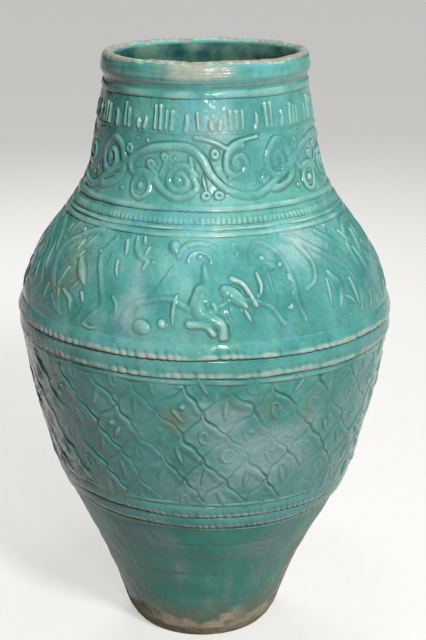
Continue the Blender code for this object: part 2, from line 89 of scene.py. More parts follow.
def smooth_curve(knots: np.ndarray, values: np.ndarray, at: np.ndarray) -> np.ndarray:
    """Reads a cubic curve through knots, with slopes from the neighbouring knots.

    Args:
        knots: Rising places of the knots.
        values: The curve's values there.
        at: Places to read.

    Returns:
        The values at the places, held level past the ends.
    """
    slopes = np.gradient(values, knots)
    at = np.clip(at, knots[0], knots[-1])
    cell = np.clip(np.searchsorted(knots, at) - 1, 0, len(knots) - 2)
    span = knots[cell + 1] - knots[cell]
    t = (at - knots[cell]) / span
    start = (1.0 + 2.0 * t) * (1.0 - t) ** 2 * values[cell]
    leave = t * (1.0 - t) ** 2 * span * slopes[cell]
    end = t * t * (3.0 - 2.0 * t) * values[cell + 1]
    arrive = t * t * (t - 1.0) * span * slopes[cell + 1]
    return start + leave + end + arrive


def smooth_path(points: Points, step: float) -> np.ndarray:
    """Lays an even row of points along a smooth path through a few.

    Args:
        points: The points that the path goes through.
        step: Distance between the points of the row.

    Returns:
        The row, one point to a line.
    """
    knots = np.array(points, float)
    along = np.concatenate([[0.0], np.cumsum(np.hypot(*np.diff(knots, axis=0).T))])
    count = max(2, int(along[-1] / step) + 1)
    at = np.linspace(0.0, along[-1], count)
    if len(knots) < 3:
        return np.stack([np.interp(at, along, knots[:, k]) for k in (0, 1)], 1)
    return np.stack([smooth_curve(along, knots[:, k], at) for k in (0, 1)], 1)


def moved(points: Points, by: float) -> Points:
    """Moves angles and heights round the jar by an angle."""
    return [(by + a, z) for a, z in points]


def rounded_loop(points: Points, passes: int, rows: int) -> np.ndarray:
    """Rounds the corners of a closed section and spaces its points evenly.

    Args:
        points: Corners of the section as radius and height.
        passes: How often each corner is cut.
        rows: Number of points wanted.

    Returns:
        The rounded section.
    """
    loop = np.array(points, float)
    for _ in range(passes):
        after = np.roll(loop, -1, axis=0)
        near = (1.0 - CORNER_CUT) * loop + CORNER_CUT * after
        far = CORNER_CUT * loop + (1.0 - CORNER_CUT) * after
        loop = np.stack([near, far], 1).reshape(-1, 2)
    closed = np.vstack([loop, loop[:1]])
    along = np.concatenate([[0.0], np.cumsum(np.hypot(*np.diff(closed, axis=0).T))])
    at = np.linspace(0.0, along[-1], rows, endpoint=False)
    return np.stack([np.interp(at, along, closed[:, k]) for k in (0, 1)], 1)


def ripple(angle: np.ndarray, height: np.ndarray, seed: int, pitch: float, terms: int = 7) -> np.ndarray:
    """Gives a smooth uneven field round the jar, from about -1 to 1.

    Args:
        angle: Angles round the axis in radians.
        height: Heights in metres.
        seed: Number that fixes the field.
        pitch: Rough size of its swells in metres.
        terms: Number of waves added up.

    Returns:
        The field at those places.
    """
    draw = np.random.default_rng(seed)
    total = np.zeros(np.broadcast(angle, height).shape)
    for _ in range(terms):
        lean = draw.uniform(0.0, TURN)
        size = pitch * draw.uniform(0.7, 1.5)
        round_waves = round(RIPPLE_GIRTH * TURN / size * math.cos(lean)) or 1
        up_waves = TURN / size * math.sin(lean)
        total += np.sin(round_waves * angle + up_waves * height + draw.uniform(0.0, TURN))
    return total / math.sqrt(terms)


def box_blur(grid: np.ndarray, reach: int) -> np.ndarray:
    """Blurs a band that closes on itself sideways.

    Args:
        grid: The band, rows by columns.
        reach: Cells taken in on each side.

    Returns:
        The blurred band.
    """
    for axis, mode in ((0, "edge"), (1, "wrap")):
        pad = [(0, 0), (0, 0)]
        pad[axis] = (reach + 1, reach)
        summed = np.cumsum(np.pad(grid, pad, mode=mode), axis=axis)
        width = 2 * reach + 1
        if axis == 0:
            grid = (summed[width:] - summed[:-width]) / width
        else:
            grid = (summed[:, width:] - summed[:, :-width]) / width
    return grid


class Side(Enum):
    """Which way a ring of faces looks."""

    OUT = 1.0
    IN = -1.0


class Ridge(Enum):
    """How the section of a ridge falls off from its crest, as two powers."""

    ROUND = (2.2, 0.85)
    LEAF = (1.7, 1.0)


class Upright(Enum):
    """What stands in the band under the collar."""

    BAR = "bar"
    LEAF = "leaf"


class Curl(Enum):
    """The ornament in a cell of the lattice."""

    SPIRAL = 0
    RING = 1
    LEAF = 2
    SPRIG = 3


class CadWall:
    """The wall's outer and inner outline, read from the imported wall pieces."""

    LAP = 8.4 * MM
    FACING = 0.15
    FULL = 20
    SLACK = 0.1 * MM
    NEAR = 1.0 * MM

    def __init__(self) -> None:
        """Reads the inner outline, and the wall's thickness where the outside is plain."""
        floors = [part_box(name)[0].z for name in WALL_NODES]
        tops = [*floors[1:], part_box(WALL_NODES[-1])[1].z]
        outer: Points = []
        inner: Points = []
        for place, name in enumerate(WALL_NODES):
            lap = self.LAP if place else 0.0
            inner += [(z, r) for z, r in self.rings(name, Side.IN) if z >= floors[place] + lap - self.SLACK]
            if name != WALL_NODES[-1]:
                outer += [(z, r) for z, r in self.rings(name, Side.OUT) if z < tops[place] + self.SLACK]
        self.inner_knots = np.array(self.thinned(inner))
        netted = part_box("lower_fillet")[1].z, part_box("belly_fillet")[0].z
        outside = [(z, r) for z, r in self.widest(outer) if not netted[0] < z < netted[1]]
        self.wall_knots = np.array([(z, r - float(self.inner(np.array(z)))) for z, r in outside])

    @classmethod
    def widest(cls, rings: Points) -> Points:
        """Keeps the widest of the rings that lie within a millimetre of each other's height.

        Args:
            rings: Height and radius of each ring.

        Returns:
            The rings that are kept, lowest first.
        """
        kept: Points = []
        for z, r in sorted(rings):
            if kept and z - kept[-1][0] < cls.NEAR:
                kept[-1] = (z, max(r, kept[-1][1]))
            else:
                kept.append((z, r))
        return kept

    @classmethod
    def thinned(cls, knots: Points) -> Points:
        """Drops knots that lie closer than a millimetre above the last one.

        Args:
            knots: Height and radius of each knot.

        Returns:
            The knots that are kept, lowest first.
        """
        kept: Points = []
        for z, r in sorted(knots):
            if not kept or z - kept[-1][0] > cls.NEAR:
                kept.append((z, r))
        return kept

    @classmethod
    def rings(cls, node: str, side: Side) -> Points:
        """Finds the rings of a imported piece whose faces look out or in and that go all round.

        Args:
            node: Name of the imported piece.
            side: Which way the faces look.

        Returns:
            Height and radius of each ring, lowest first.
        """
        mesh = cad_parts[node].data
        corners = np.zeros(len(mesh.loops), np.int32)
        mesh.loops.foreach_get("vertex_index", corners)
        places = np.zeros(len(mesh.vertices) * 3)
        mesh.vertices.foreach_get("co", places)
        faces = places.reshape(-1, 3)[corners].reshape(-1, 3, 3)
        look = np.cross(faces[:, 1] - faces[:, 0], faces[:, 2] - faces[:, 0])
        look /= np.maximum(np.linalg.norm(look, axis=1, keepdims=True), 1e-12)
        middle = faces.mean(1)
        facing = (look[:, :2] * middle[:, :2]).sum(1) / np.maximum(np.hypot(middle[:, 0], middle[:, 1]), MM)
        shown = faces[facing * side.value >= cls.FACING].reshape(-1, 3)
        spots = {
            (round(z, 4), round(math.hypot(x, y), 4), round(math.atan2(y, x), 2))
            for x, y, z in shown.tolist()
        }
        counts: dict[tuple[float, float], int] = {}
        for z, r, _ in spots:
            counts[(z, r)] = counts.get((z, r), 0) + 1
        return sorted(ring for ring, count in counts.items() if count >= cls.FULL)

    def outer(self, height: np.ndarray) -> np.ndarray:
        """Gives the outer radius at some heights."""
        height = np.asarray(height, float)
        return self.inner(height) + smooth_curve(self.wall_knots[:, 0], self.wall_knots[:, 1], height)

    def lean(self, height: np.ndarray) -> np.ndarray:
        """Gives how far the outside leans up from facing sideways, in radians."""
        return np.arctan((self.outer(height - MM) - self.outer(height + MM)) / (2.0 * MM))

    def inner(self, height: np.ndarray) -> np.ndarray:
        """Gives the inner radius at some heights."""
        return smooth_curve(self.inner_knots[:, 0], self.inner_knots[:, 1], np.asarray(height, float))


@dataclass
class Nearby:
    """The cells of a flat band that lie near a short length drawn on it."""

    spot: tuple[np.ndarray, ...]
    along: np.ndarray
    off: np.ndarray
    upper: np.ndarray


class ReliefField:
    """A band of the wall laid out flat, on which ornament is modelled in ridges and cuts.

    Places are given as an angle in degrees from the front, positive to the right, and a
    height in millimetres; sizes are in millimetres on the clay.
    """

    CELL = 0.45
    LEVELS = 200
    BELOW = 0.45
    LIP = 1.6
    THINNEST = 0.2
    TINY = 1e-9
    RIBBON_STEP = 2.2
    LEAF_STEP = 1.8
    SPIRAL_STEP = 2.4
    FAINT = 0.05

    def __init__(self, wall: CadWall, low: float, high: float) -> None:
        """Lays out an empty band.

        Args:
            wall: The wall that carries the band.
            low: Lowest height of the band in metres.
            high: Highest height of the band in metres.
        """
        self.slope(self.BELOW, 1.0)
        heights = np.linspace(low, high, self.LEVELS)
        radii = wall.outer(heights)
        slope = np.concatenate([[0.0], np.cumsum(np.hypot(np.diff(heights), np.diff(radii)))])
        self.height_knots = heights / MM
        self.slope_knots = slope / MM
        self.girth = float(radii.mean()) * TURN / MM
        self.columns = int(self.girth / self.CELL)
        self.rows = int(self.slope_knots[-1] / self.CELL) + 2
        self.cell_across = self.girth / self.columns
        self.ridge, self.cut, self.scored, self.swell = np.zeros((4, self.rows, self.columns))

    def slope(self, below: float, spread: float) -> None:
        """Sets how the ridges that follow fall away on their lower side.

        Args:
            below: Depth of the cut under a ridge as a share of that over it.
            spread: Width of the lower slope as a share of the upper one.
        """
        self.below = below
        self.spread = spread

    def flat(self, points: Points) -> Points:
        """Turns angles and heights into places on the flat band."""
        up = np.interp([z for _, z in points], self.height_knots, self.slope_knots)
        return [(a / 360.0 * self.girth, float(y)) for (a, _), y in zip(points, up)]

    def cell(self, place: Place, width: float) -> tuple[int, int, int]:
        """Gives the row and the column of a place, and half a width in cells."""
        x, y = self.flat([place])[0]
        return int(y / self.CELL), int(x / self.cell_across), int(0.5 * width / self.CELL)

    def nearby(self, p: np.ndarray, q: np.ndarray, reach: float) -> Nearby | None:
        """Finds the cells round a short length.

        Args:
            p: Its start on the flat band.
            q: Its end.
            reach: How far off it the cells are wanted.

        Returns:
            The cells, with how far along the length and how far off it each one lies and whether
            it lies over it, or None where the length is off the band.
        """
        first = math.floor((min(p[0], q[0]) - reach) / self.cell_across)
        last = math.ceil((max(p[0], q[0]) + reach) / self.cell_across) + 1
        bottom = max(0, math.floor((min(p[1], q[1]) - reach) / self.CELL))
        top = min(self.rows, math.ceil((max(p[1], q[1]) + reach) / self.CELL) + 1)
        if top <= bottom:
            return None
        across = np.arange(first, last)
        up = np.arange(bottom, top)
        x = across * self.cell_across - p[0]
        y = up[:, None] * self.CELL - p[1]
        run = q - p
        along = np.clip((x * run[0] + y * run[1]) / max(float(run @ run), self.TINY), 0.0, 1.0)
        off = np.hypot(x - along * run[0], y - along * run[1])
        return Nearby(np.ix_(up, across % self.columns), along, off, y > along * run[1])

    def stamp(self, p: np.ndarray, q: np.ndarray, wide: Place, high: float, edge: float,
              ridge: Ridge = Ridge.ROUND) -> None:
        """Raises one short length of ridge with a cut along its edges.

        Args:
            p: Its start on the flat band.
            q: Its end.
            wide: Half its width at the start and the end.
            high: Its height.
            edge: Depth of the cut beside it.
            ridge: Its section.
        """
        near = self.nearby(p, q, max(wide) * self.spread + self.LIP)
        if near is None:
            return
        half = (wide[0] + (wide[1] - wide[0]) * near.along) * np.where(near.upper, 1.0, self.spread)
        fall, swell = ridge.value
        raised = high * np.clip(1.0 - (near.off / np.maximum(half, self.THINNEST)) ** fall, 0.0, 1.0) ** swell
        groove = edge * np.clip(1.0 - np.abs(near.off - half - 0.1 * self.LIP) / (0.8 * self.LIP), 0.0, 1.0)
        groove *= np.where(near.upper, 1.0, self.below)
        self.ridge[near.spot] = np.maximum(self.ridge[near.spot], raised)
        self.cut[near.spot] = np.maximum(self.cut[near.spot], groove)

    def score(self, path: np.ndarray, wide: float, deep: float) -> None:
        """Scores a fine line along a row of points on the flat band.

        Args:
            path: The points.
            wide: Half its width.
            deep: Its depth.
        """
        for p, q in zip(path, path[1:]):
            near = self.nearby(p, q, wide)
            if near is not None:
                line = deep * np.clip(1.0 - near.off / wide, 0.0, 1.0)
                self.scored[near.spot] = np.maximum(self.scored[near.spot], line)

    def stroke(self, path: np.ndarray, halves: np.ndarray, high: float, edge: float,
               ridge: Ridge = Ridge.ROUND) -> None:
        """Raises a ridge along a row of points on the flat band."""
        for k in range(len(path) - 1):
            self.stamp(path[k], path[k + 1], (halves[k], halves[k + 1]), high, edge, ridge)

    def ribbon(self, points: Points, width: float, high: float, edge: float, taper: float = 1.0,
               ridge: Ridge = Ridge.ROUND) -> None:
        """Raises a ribbon through a few places.

        Args:
            points: Angles and heights that it passes through.
            width: Its width at the start.
            high: Its height.
            edge: Depth of the cut beside it.
            taper: Its width at the end as a share of that at the start.
            ridge: Its section.
        """
        path = smooth_path(self.flat(points), self.RIBBON_STEP)
        self.stroke(path, np.linspace(0.5 * width, 0.5 * width * taper, len(path)), high, edge, ridge)

    def leaf(self, points: Points, width: float, high: float, edge: float) -> None:
        """Raises a leaf that swells between its two ends.

        Args:
            points: Angles and heights that its middle line passes through.
            width: Its greatest width.
            high: Its height.
            edge: Depth of the cut beside it.
        """
        path = smooth_path(self.flat(points), self.LEAF_STEP)
        swell = np.sin(np.linspace(0.12, 1.0, len(path)) ** 0.8 * math.pi) ** 0.7
        self.stroke(path, np.maximum(0.5 * width * swell, 0.6), high, edge, Ridge.LEAF)

    def boss(self, place: Place, width: float, high: float, edge: float) -> None:
        """Raises a round boss."""
        spot = np.array(self.flat([place])[0])
        self.stamp(spot, spot + 0.01, (0.5 * width, 0.5 * width), high, edge)

    def dome(self, place: Place, width: float, high: float) -> None:
        """Swells the ground under the ornament.

        Args:
            place: Angle and height of the swelling's middle.
            width: Its width.
            high: Its height.
        """
        row, column, reach = self.cell(place, width)
        up = np.arange(max(0, row - reach), min(self.rows, row + reach + 1))
        across = np.arange(column - reach, column + reach + 1)
        off = np.hypot(up[:, None] - row, across - column) / max(reach, 1)
        spot = np.ix_(up, across % self.columns)
        self.swell[spot] = np.maximum(self.swell[spot], high * np.clip(1.0 - off * off, 0.0, 1.0))

    def ring(self, place: Place, size: Place, width: float, high: float, edge: float) -> None:
        """Raises an oval ring, whose size is taken across the middle of its ribbon."""
        self.spiral(place, size, 1.0, 90.0, 1.0, width, high, edge, 1.0)

    def spiral(self, place: Place, size: Place, turns: float, start: float, sense: float, width: float,
               high: float, edge: float, inner: float) -> None:
        """Raises a ribbon that winds inwards.

        Args:
            place: Angle and height of its middle.
            size: Its width and height at the start.
            turns: Number of turns.
            start: Direction of its outer end in degrees, 0 to the right and 90 up.
            sense: 1 to wind anticlockwise and -1 to wind clockwise.
            width: Width of the ribbon.
            high: Its height.
            edge: Depth of the cut beside it.
            inner: Its size at the end as a share of that at the start.
        """
        middle = self.flat([place])[0]
        count = max(10, int(turns * (size[0] + size[1]) * 0.5 * math.pi / self.SPIRAL_STEP))
        share = np.linspace(0.0, 1.0, count)
        turned = math.radians(start) + sense * share * turns * TURN
        reach = 0.5 * (1.0 + (inner - 1.0) * share ** 0.85)
        aside = middle[0] + size[0] * reach * np.cos(turned)
        above = middle[1] + size[1] * reach * np.sin(turned)
        self.stroke(np.stack([aside, above], 1), np.linspace(0.5 * width, 0.36 * width, count), high, edge)

    def bare(self, place: Place, width: float) -> bool:
        """Tells whether nothing is raised yet round a place.

        Args:
            place: Angle and height of the place.
            width: Width of the square that is looked at.

        Returns:
            Whether it is on the band and bare.
        """
        row, column, reach = self.cell(place, width)
        if row - reach < 0 or row + reach >= self.rows:
            return False
        across = np.arange(column - reach, column + reach + 1) % self.columns
        return bool(self.ridge[row - reach:row + reach + 1][:, across].max() < self.FAINT)

    def settle(self, soften: int, wander: float, seed: int, fading: float = 0.26) -> "SettledRelief":
        """Softens the ridges as a flowing glaze does.

        Args:
            soften: Reach of the softening in cells.
            wander: How far the modelling strays from true, in millimetres.
            seed: Number that fixes the straying.
            fading: How much the depth of the modelling changes from place to place.

        Returns:
            The finished relief, ready to be read.
        """
        under = np.clip(1.5 - self.ridge / 0.9, 0.0, 1.0)
        cut = self.cut * under
        height = box_blur(box_blur(self.ridge, soften), soften) - box_blur(cut, 2) - box_blur(self.scored, 1)
        # Crests that stand above their surroundings are marked for paling: glaze that runs thinner there, and
        # painted highlight.
        stand = height - box_blur(box_blur(height, 7), 7)
        # Cut grooves and scored lines are marked for darkening: pooled glaze and painted shade.
        pool_and_shade = np.clip(1.3 * box_blur(cut, 1) + box_blur(self.scored, 1), 0.0, 1.0)
        height = height + box_blur(self.swell, 5)
        return SettledRelief(self, height, np.clip(stand / 1.1, 0.0, 1.0), pool_and_shade, wander, seed, fading)


@dataclass
class SettledRelief:
    """A finished band of relief that can be read anywhere on the wall."""

    band: ReliefField
    height: np.ndarray
    wear: np.ndarray
    pool_and_shade: np.ndarray
    wander: float
    seed: int
    fading: float

    def read(self, angle: np.ndarray, level: np.ndarray) -> list[np.ndarray]:
        """Reads the relief.

        Args:
            angle: Angles from the front in radians.
            level: Heights in metres.

        Returns:
            The relief's height in millimetres, how pale its crests are painted, as glaze that runs thinner
            there and as painted highlight, and how dark its grooves are painted, as pooled glaze and painted
            shade, from 0 to 1.
        """
        band = self.band
        aside = self.wander * ripple(angle, level, self.seed, 0.05)
        above = 0.7 * self.wander * ripple(angle, level, self.seed + 1, 0.06)
        slope = np.interp(level / MM, band.height_knots, band.slope_knots) + above
        x = (angle / TURN * band.girth + aside) / band.cell_across
        y = np.clip(slope / band.CELL, 0.0, band.rows - 1.001)
        left = np.floor(x).astype(int)
        low = np.floor(y).astype(int)
        tx, ty = x - left, y - low
        uneven = ripple(angle, level, self.seed + 2, 0.09)
        fade = np.clip(0.82 + self.fading * uneven, 0.82 - 1.6 * self.fading, 1.15)
        found = []
        for grid in (self.height, self.wear, self.pool_and_shade):
            a = grid[low, left % band.columns]
            b = grid[low, (left + 1) % band.columns]
            c = grid[low + 1, left % band.columns]
            d = grid[low + 1, (left + 1) % band.columns]
            found.append(fade * ((a * (1 - tx) + b * tx) * (1 - ty) + (c * (1 - tx) + d * tx) * ty))
        return found


@dataclass(frozen=True)
class Patch:
    """A place where the glaze has changed colour, or where sheen or shade is painted on it: angle and width
    in degrees, the rest in millimetres.
    """

    angle: float
    level: float
    wide: float
    tall: float
    strong: float = 1.0


BLOOMS_AND_SHEEN = (
    Patch(-22.0, 510.0, 4.6, 56.0, 0.75), Patch(17.0, 300.0, 24.0, 56.0),
    # The patches at 0 degrees, 738 mm and at 6 degrees, 680 mm pale the front middle of the collar and the
    # neck: partly lilac blooming, partly painted sheen.
    Patch(3.0, 340.0, 13.0, 40.0, 0.9), Patch(0.0, 738.0, 24.0, 11.0, 0.9),
    Patch(6.0, 680.0, 15.0, 34.0, 1.0), Patch(-41.0, 433.0, 16.0, 9.0, 0.8),
    Patch(-50.0, 350.0, 10.0, 50.0, 0.5), Patch(6.0, 60.0, 9.0, 22.0, 0.7),
    Patch(-12.0, 120.0, 5.0, 40.0, 0.6), Patch(15.0, 92.0, 4.0, 46.0, 0.9),
    Patch(-44.0, 140.0, 9.0, 36.0, 0.6), Patch(38.0, 545.0, 12.0, 26.0, 0.7),
    Patch(25.0, 156.0, 18.0, 26.0, 1.1), Patch(-26.0, 167.0, 16.0, 20.0, 1.1),
    Patch(34.0, 110.0, 10.0, 24.0, 0.8), Patch(-30.0, 100.0, 8.0, 18.0, 0.7),
    Patch(-14.0, 298.0, 7.0, 22.0, 0.5), Patch(66.0, 390.0, 14.0, 40.0, 0.3),
    Patch(112.0, 505.0, 9.0, 50.0), Patch(150.0, 330.0, 16.0, 40.0, 0.8),
    Patch(-118.0, 470.0, 18.0, 30.0, 0.8), Patch(-160.0, 640.0, 14.0, 40.0, 0.8),
    Patch(-96.0, 290.0, 14.0, 40.0, 0.7), Patch(-13.6, 386.0, 1.1, 16.0, 0.6),
    Patch(0.0, 384.0, 1.1, 18.0, 0.6), Patch(3.6, 388.0, 0.9, 13.0, 0.5),
    Patch(21.7, 386.0, 1.0, 15.0, 0.6), Patch(40.3, 388.0, 1.2, 20.0, 0.6),
    Patch(6.0, 258.0, 9.0, 24.0, 0.6), Patch(172.0, 150.0, 18.0, 40.0, 0.6),
    Patch(96.0, 690.0, 16.0, 30.0, 0.7), Patch(-70.0, 120.0, 14.0, 30.0, 0.5),
)
STAINS_AND_SHADE = (
    Patch(-9.7, 356.0, 6.0, 26.0, 1.1), Patch(17.7, 372.0, 5.0, 28.0, 0.8),
    Patch(33.2, 366.0, 4.2, 40.0, 1.2), Patch(9.0, 378.0, 5.0, 20.0, 0.5),
    # The patches at -72 and 66 degrees darken the lower wall towards its sides, and the one at -52 degrees,
    # 508 mm darkens the left shoulder: partly brown staining, partly painted shade.
    Patch(-72.0, 90.0, 20.0, 80.0, 1.3), Patch(66.0, 110.0, 14.0, 90.0, 1.3),
    Patch(-31.0, 655.0, 4.0, 16.0, 0.6), Patch(-52.0, 508.0, 16.0, 42.0, 0.65),
    Patch(25.0, 300.0, 6.0, 14.0, 0.4), Patch(104.0, 350.0, 12.0, 40.0, 0.7),
    Patch(-128.0, 330.0, 12.0, 36.0, 0.8), Patch(158.0, 470.0, 14.0, 30.0, 0.6),
    Patch(-170.0, 110.0, 20.0, 50.0, 0.7), Patch(130.0, 90.0, 16.0, 40.0, 0.7),
    Patch(-110.0, 610.0, 12.0, 24.0, 0.6),
)
BARED = (
    Patch(-48.0, 30.0, 26.0, 20.0), Patch(24.0, 36.0, 6.0, 13.0), Patch(72.0, 26.0, 16.0, 20.0),
    Patch(130.0, 30.0, 24.0, 20.0), Patch(-120.0, 30.0, 24.0, 18.0), Patch(178.0, 26.0, 16.0, 18.0),
)


def patched(patches: tuple[Patch, ...], angle: np.ndarray, level: np.ndarray) -> np.ndarray:
    """Gives how much of a change of colour each place of the jar has.

    Args:
        patches: The patches.
        angle: Angles from the front in radians.
        level: Heights in metres.

    Returns:
        A share from 0 to 1 for each place.
    """
    total = np.zeros(len(angle))
    for patch in patches:
        aside = (np.degrees(angle) - patch.angle + 180.0) % 360.0 - 180.0
        off = np.hypot(aside / patch.wide, (level / MM - patch.level) / patch.tall)
        total = np.maximum(total, patch.strong * np.exp(-off * off))
    return total


class RingPiece:
    """A closed ring of clay: a section spun round the jar's axis, with its skin worked over."""

    BAKE_MAP = "OFBake"
    MERGE = 0.002 * MM
    MARGIN_UP = 0.02
    MARGIN_ACROSS = 0.003

    def __init__(self, name: str, section: np.ndarray, columns: int, poled: bool = False) -> None:
        """Spins a section into a ring.

        Args:
            name: Name of the piece.
            section: The closed section as radius and height.
            columns: Number of steps round the axis.
            poled: Whether the section's two ends lie on the axis.
        """
        self.section = section
        self.poled = poled
        bpy.ops.object.select_all(action="DESELECT")
        bpy.ops.mesh.primitive_circle_add(vertices=len(section), radius=MM, fill_type="NOTHING")
        self.piece = bpy.context.object
        self.piece.name = name
        self.mesh = self.piece.data
        self.mesh.name = name
        laid = np.zeros((len(section), 3))
        laid[:, 1:] = section
        self.mesh.vertices.foreach_set("co", laid.ravel())
        rows = self.mesh.attributes.new("row", "INT", "POINT")
        rows.data.foreach_set("value", np.arange(len(section), dtype=np.int32))
        if self.poled:
            self.part_ends()
        self.spin(columns)
        self.row = np.zeros(len(self.mesh.vertices), np.int32)
        self.mesh.attributes["row"].data.foreach_get("value", self.row)
        place = self.places()
        self.angle = np.arctan2(place[:, 0], -place[:, 1])
        self.level = section[self.row, 1]
        self.zero = np.zeros(len(self.row))

    def part_ends(self) -> None:
        """Takes away the edge between the section's two ends on the axis."""
        bpy.ops.object.mode_set(mode="EDIT")
        bpy.ops.mesh.select_all(action="DESELECT")
        bpy.ops.object.mode_set(mode="OBJECT")
        for end in (0, len(self.section) - 1):
            self.mesh.vertices[end].select = True
        bpy.ops.object.mode_set(mode="EDIT")
        bpy.ops.mesh.select_mode(type="VERT")
        bpy.ops.mesh.delete(type="EDGE_FACE")
        bpy.ops.object.mode_set(mode="OBJECT")

    def spin(self, columns: int) -> None:
        """Turns the section round the axis and faces the skin outwards.

        Args:
            columns: Number of steps round the axis.
        """
        turned = self.piece.modifiers.new("turned", "SCREW")
        turned.axis = "Z"
        turned.angle = TURN
        turned.steps = columns
        turned.render_steps = columns
        turned.use_merge_vertices = True
        turned.merge_threshold = self.MERGE
        bpy.ops.object.modifier_apply(modifier=turned.name)
        bpy.ops.object.mode_set(mode="EDIT")
        bpy.ops.mesh.select_all(action="SELECT")
        bpy.ops.mesh.normals_make_consistent(inside=False)
        bpy.ops.object.mode_set(mode="OBJECT")
        bpy.ops.object.shade_smooth()

    def places(self) -> np.ndarray:
        """Reads the places of the vertices.

        Returns:
            One place to a line.
        """
        found = np.zeros(len(self.mesh.vertices) * 3)
        self.mesh.vertices.foreach_get("co", found)
        return found.reshape(-1, 3)

    def uneven(self, seed: int, pitch: float, terms: int = 7) -> np.ndarray:
        """Gives a smooth unevenness at each vertex, from about -1 to 1."""
        return ripple(self.angle, self.level, seed, pitch, terms)

    def waver(self, seed: int, pitch: float) -> np.ndarray:
        """Gives an unevenness that is the same at every height."""
        return ripple(self.angle, self.zero, seed, pitch)

    def push(self, heights: np.ndarray, lean: np.ndarray) -> None:
        """Pushes the skin out along its normals, which lean up from facing sideways, in radians."""
        self.shift(heights * np.cos(lean), heights * np.sin(lean))

    def crease(self, rows: tuple[int, ...]) -> None:
        """Keeps some rings of edges sharp, so that the skin's shading ends there.

        Args:
            rows: Places of the rings in the section.
        """
        ends = np.zeros(len(self.mesh.edges) * 2, np.int32)
        self.mesh.edges.foreach_get("vertices", ends)
        pair = self.row[ends].reshape(-1, 2)
        self.mesh.edges.foreach_set("use_edge_sharp", (pair[:, 0] == pair[:, 1]) & np.isin(pair[:, 0], rows))

    def shift(self, outwards: np.ndarray, upwards: np.ndarray) -> None:
        """Moves each vertex out from the axis and up.

        Args:
            outwards: How far out, in metres.
            upwards: How far up, in metres.
        """
        place = self.places()
        place[:, 0] += np.sin(self.angle) * outwards
        place[:, 1] -= np.cos(self.angle) * outwards
        place[:, 2] += upwards
        self.mesh.vertices.foreach_set("co", place.ravel())
        self.mesh.update()

    def mark(self, name: str, values: np.ndarray) -> None:
        """Keeps a number for each vertex, for the finish to read."""
        kept = self.mesh.attributes.new(name, "FLOAT", "POINT")
        kept.data.foreach_set("value", np.clip(values, 0.0, 1.0).astype(np.float32))

    def weather(self, wear: np.ndarray, pool_and_shade: np.ndarray, inside: np.ndarray) -> None:
        """Keeps how the glaze lies at each vertex.

        Args:
            wear: How worn it is; on the relief's crests it also marks thinner glaze and painted highlight.
            pool_and_shade: How dark it is painted in hollows and creases, as pooled glaze and painted shade.
            inside: How far the place belongs to the inside.
        """
        self.mark("wear", wear)
        self.mark("pool_and_shade", pool_and_shade)
        self.mark("inside", inside)

    def lay_map(self) -> None:
        """Lays the ring out flat in stacked lengths, so that a bake has even pixels."""
        closed = np.vstack([self.section, self.section[:1]])
        steps = np.hypot(*np.diff(closed, axis=0).T)
        along = np.concatenate([[0.0], np.cumsum(steps)])
        lengths = max(1, round(math.sqrt(TURN * self.section[:, 0].max() / along[-1])))
        corner = np.zeros(len(self.mesh.loops), np.int32)
        self.mesh.loops.foreach_get("vertex_index", corner)
        angle = (self.angle[corner].reshape(-1, 4) + math.pi) / TURN
        angle += (angle < angle.max(1, keepdims=True) - 0.5)
        row = self.row[corner].reshape(-1, 4)
        row = row + len(self.section) * (row < row.max(1, keepdims=True) - len(self.section) // 2)
        part = np.floor((angle.mean(1, keepdims=True) % 1.0) * lengths)
        across = (angle - np.floor(angle.mean(1, keepdims=True))) * lengths - part
        up = (part + self.MARGIN_UP + (1.0 - 2.0 * self.MARGIN_UP) * along[row] / along[-1]) / lengths
        sheet = self.mesh.uv_layers.new(name=self.BAKE_MAP)
        flat = np.stack([self.MARGIN_ACROSS + (1.0 - 2.0 * self.MARGIN_ACROSS) * across, up], 2)
        sheet.data.foreach_set("uv", flat.astype(np.float32).ravel())

    def finish(self, material: bpy.types.Material, slot: str, node: str) -> None:
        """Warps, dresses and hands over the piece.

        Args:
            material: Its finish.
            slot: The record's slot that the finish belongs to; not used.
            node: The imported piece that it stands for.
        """
        self.mark("bloom_and_sheen", patched(BLOOMS_AND_SHEEN, self.angle, self.level))
        self.mark("stain_and_shade", patched(STAINS_AND_SHADE, self.angle, self.level))
        place = warped(self.places())
        self.mesh.vertices.foreach_set("co", place.ravel())
        self.mesh.update()
        if not self.poled:
            self.lay_map()
        self.mesh.attributes.remove(self.mesh.attributes["row"])
        self.mesh.materials.clear()
        self.mesh.materials.append(material)
        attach(self.piece, BODY)
        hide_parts(node)
        LOG.info("%s: %d faces for %s", self.piece.name, len(self.mesh.polygons), node)


def warped(place: np.ndarray) -> np.ndarray:
    """Gives all pieces the same slight lean and sag that the fired jar has.

    Args:
        place: Places of vertices.

    Returns:
        The places after firing.
    """
    lean_at = np.array([0.0, 0.1, 0.21, 0.32, 0.43, 0.6, 0.75])
    tilt = np.array([0.0, 0.016, 0.034, 0.022, 0.008, -0.002, -0.006])
    aside = np.array([-4.0, -3.6, -2.4, -1.2, -0.4, 0.0, 0.4]) * MM
    found = place.copy()
    found[:, 0] += np.interp(place[:, 2], lean_at, aside)
    found[:, 2] -= np.interp(place[:, 2], lean_at, tilt) * place[:, 0]
    return found


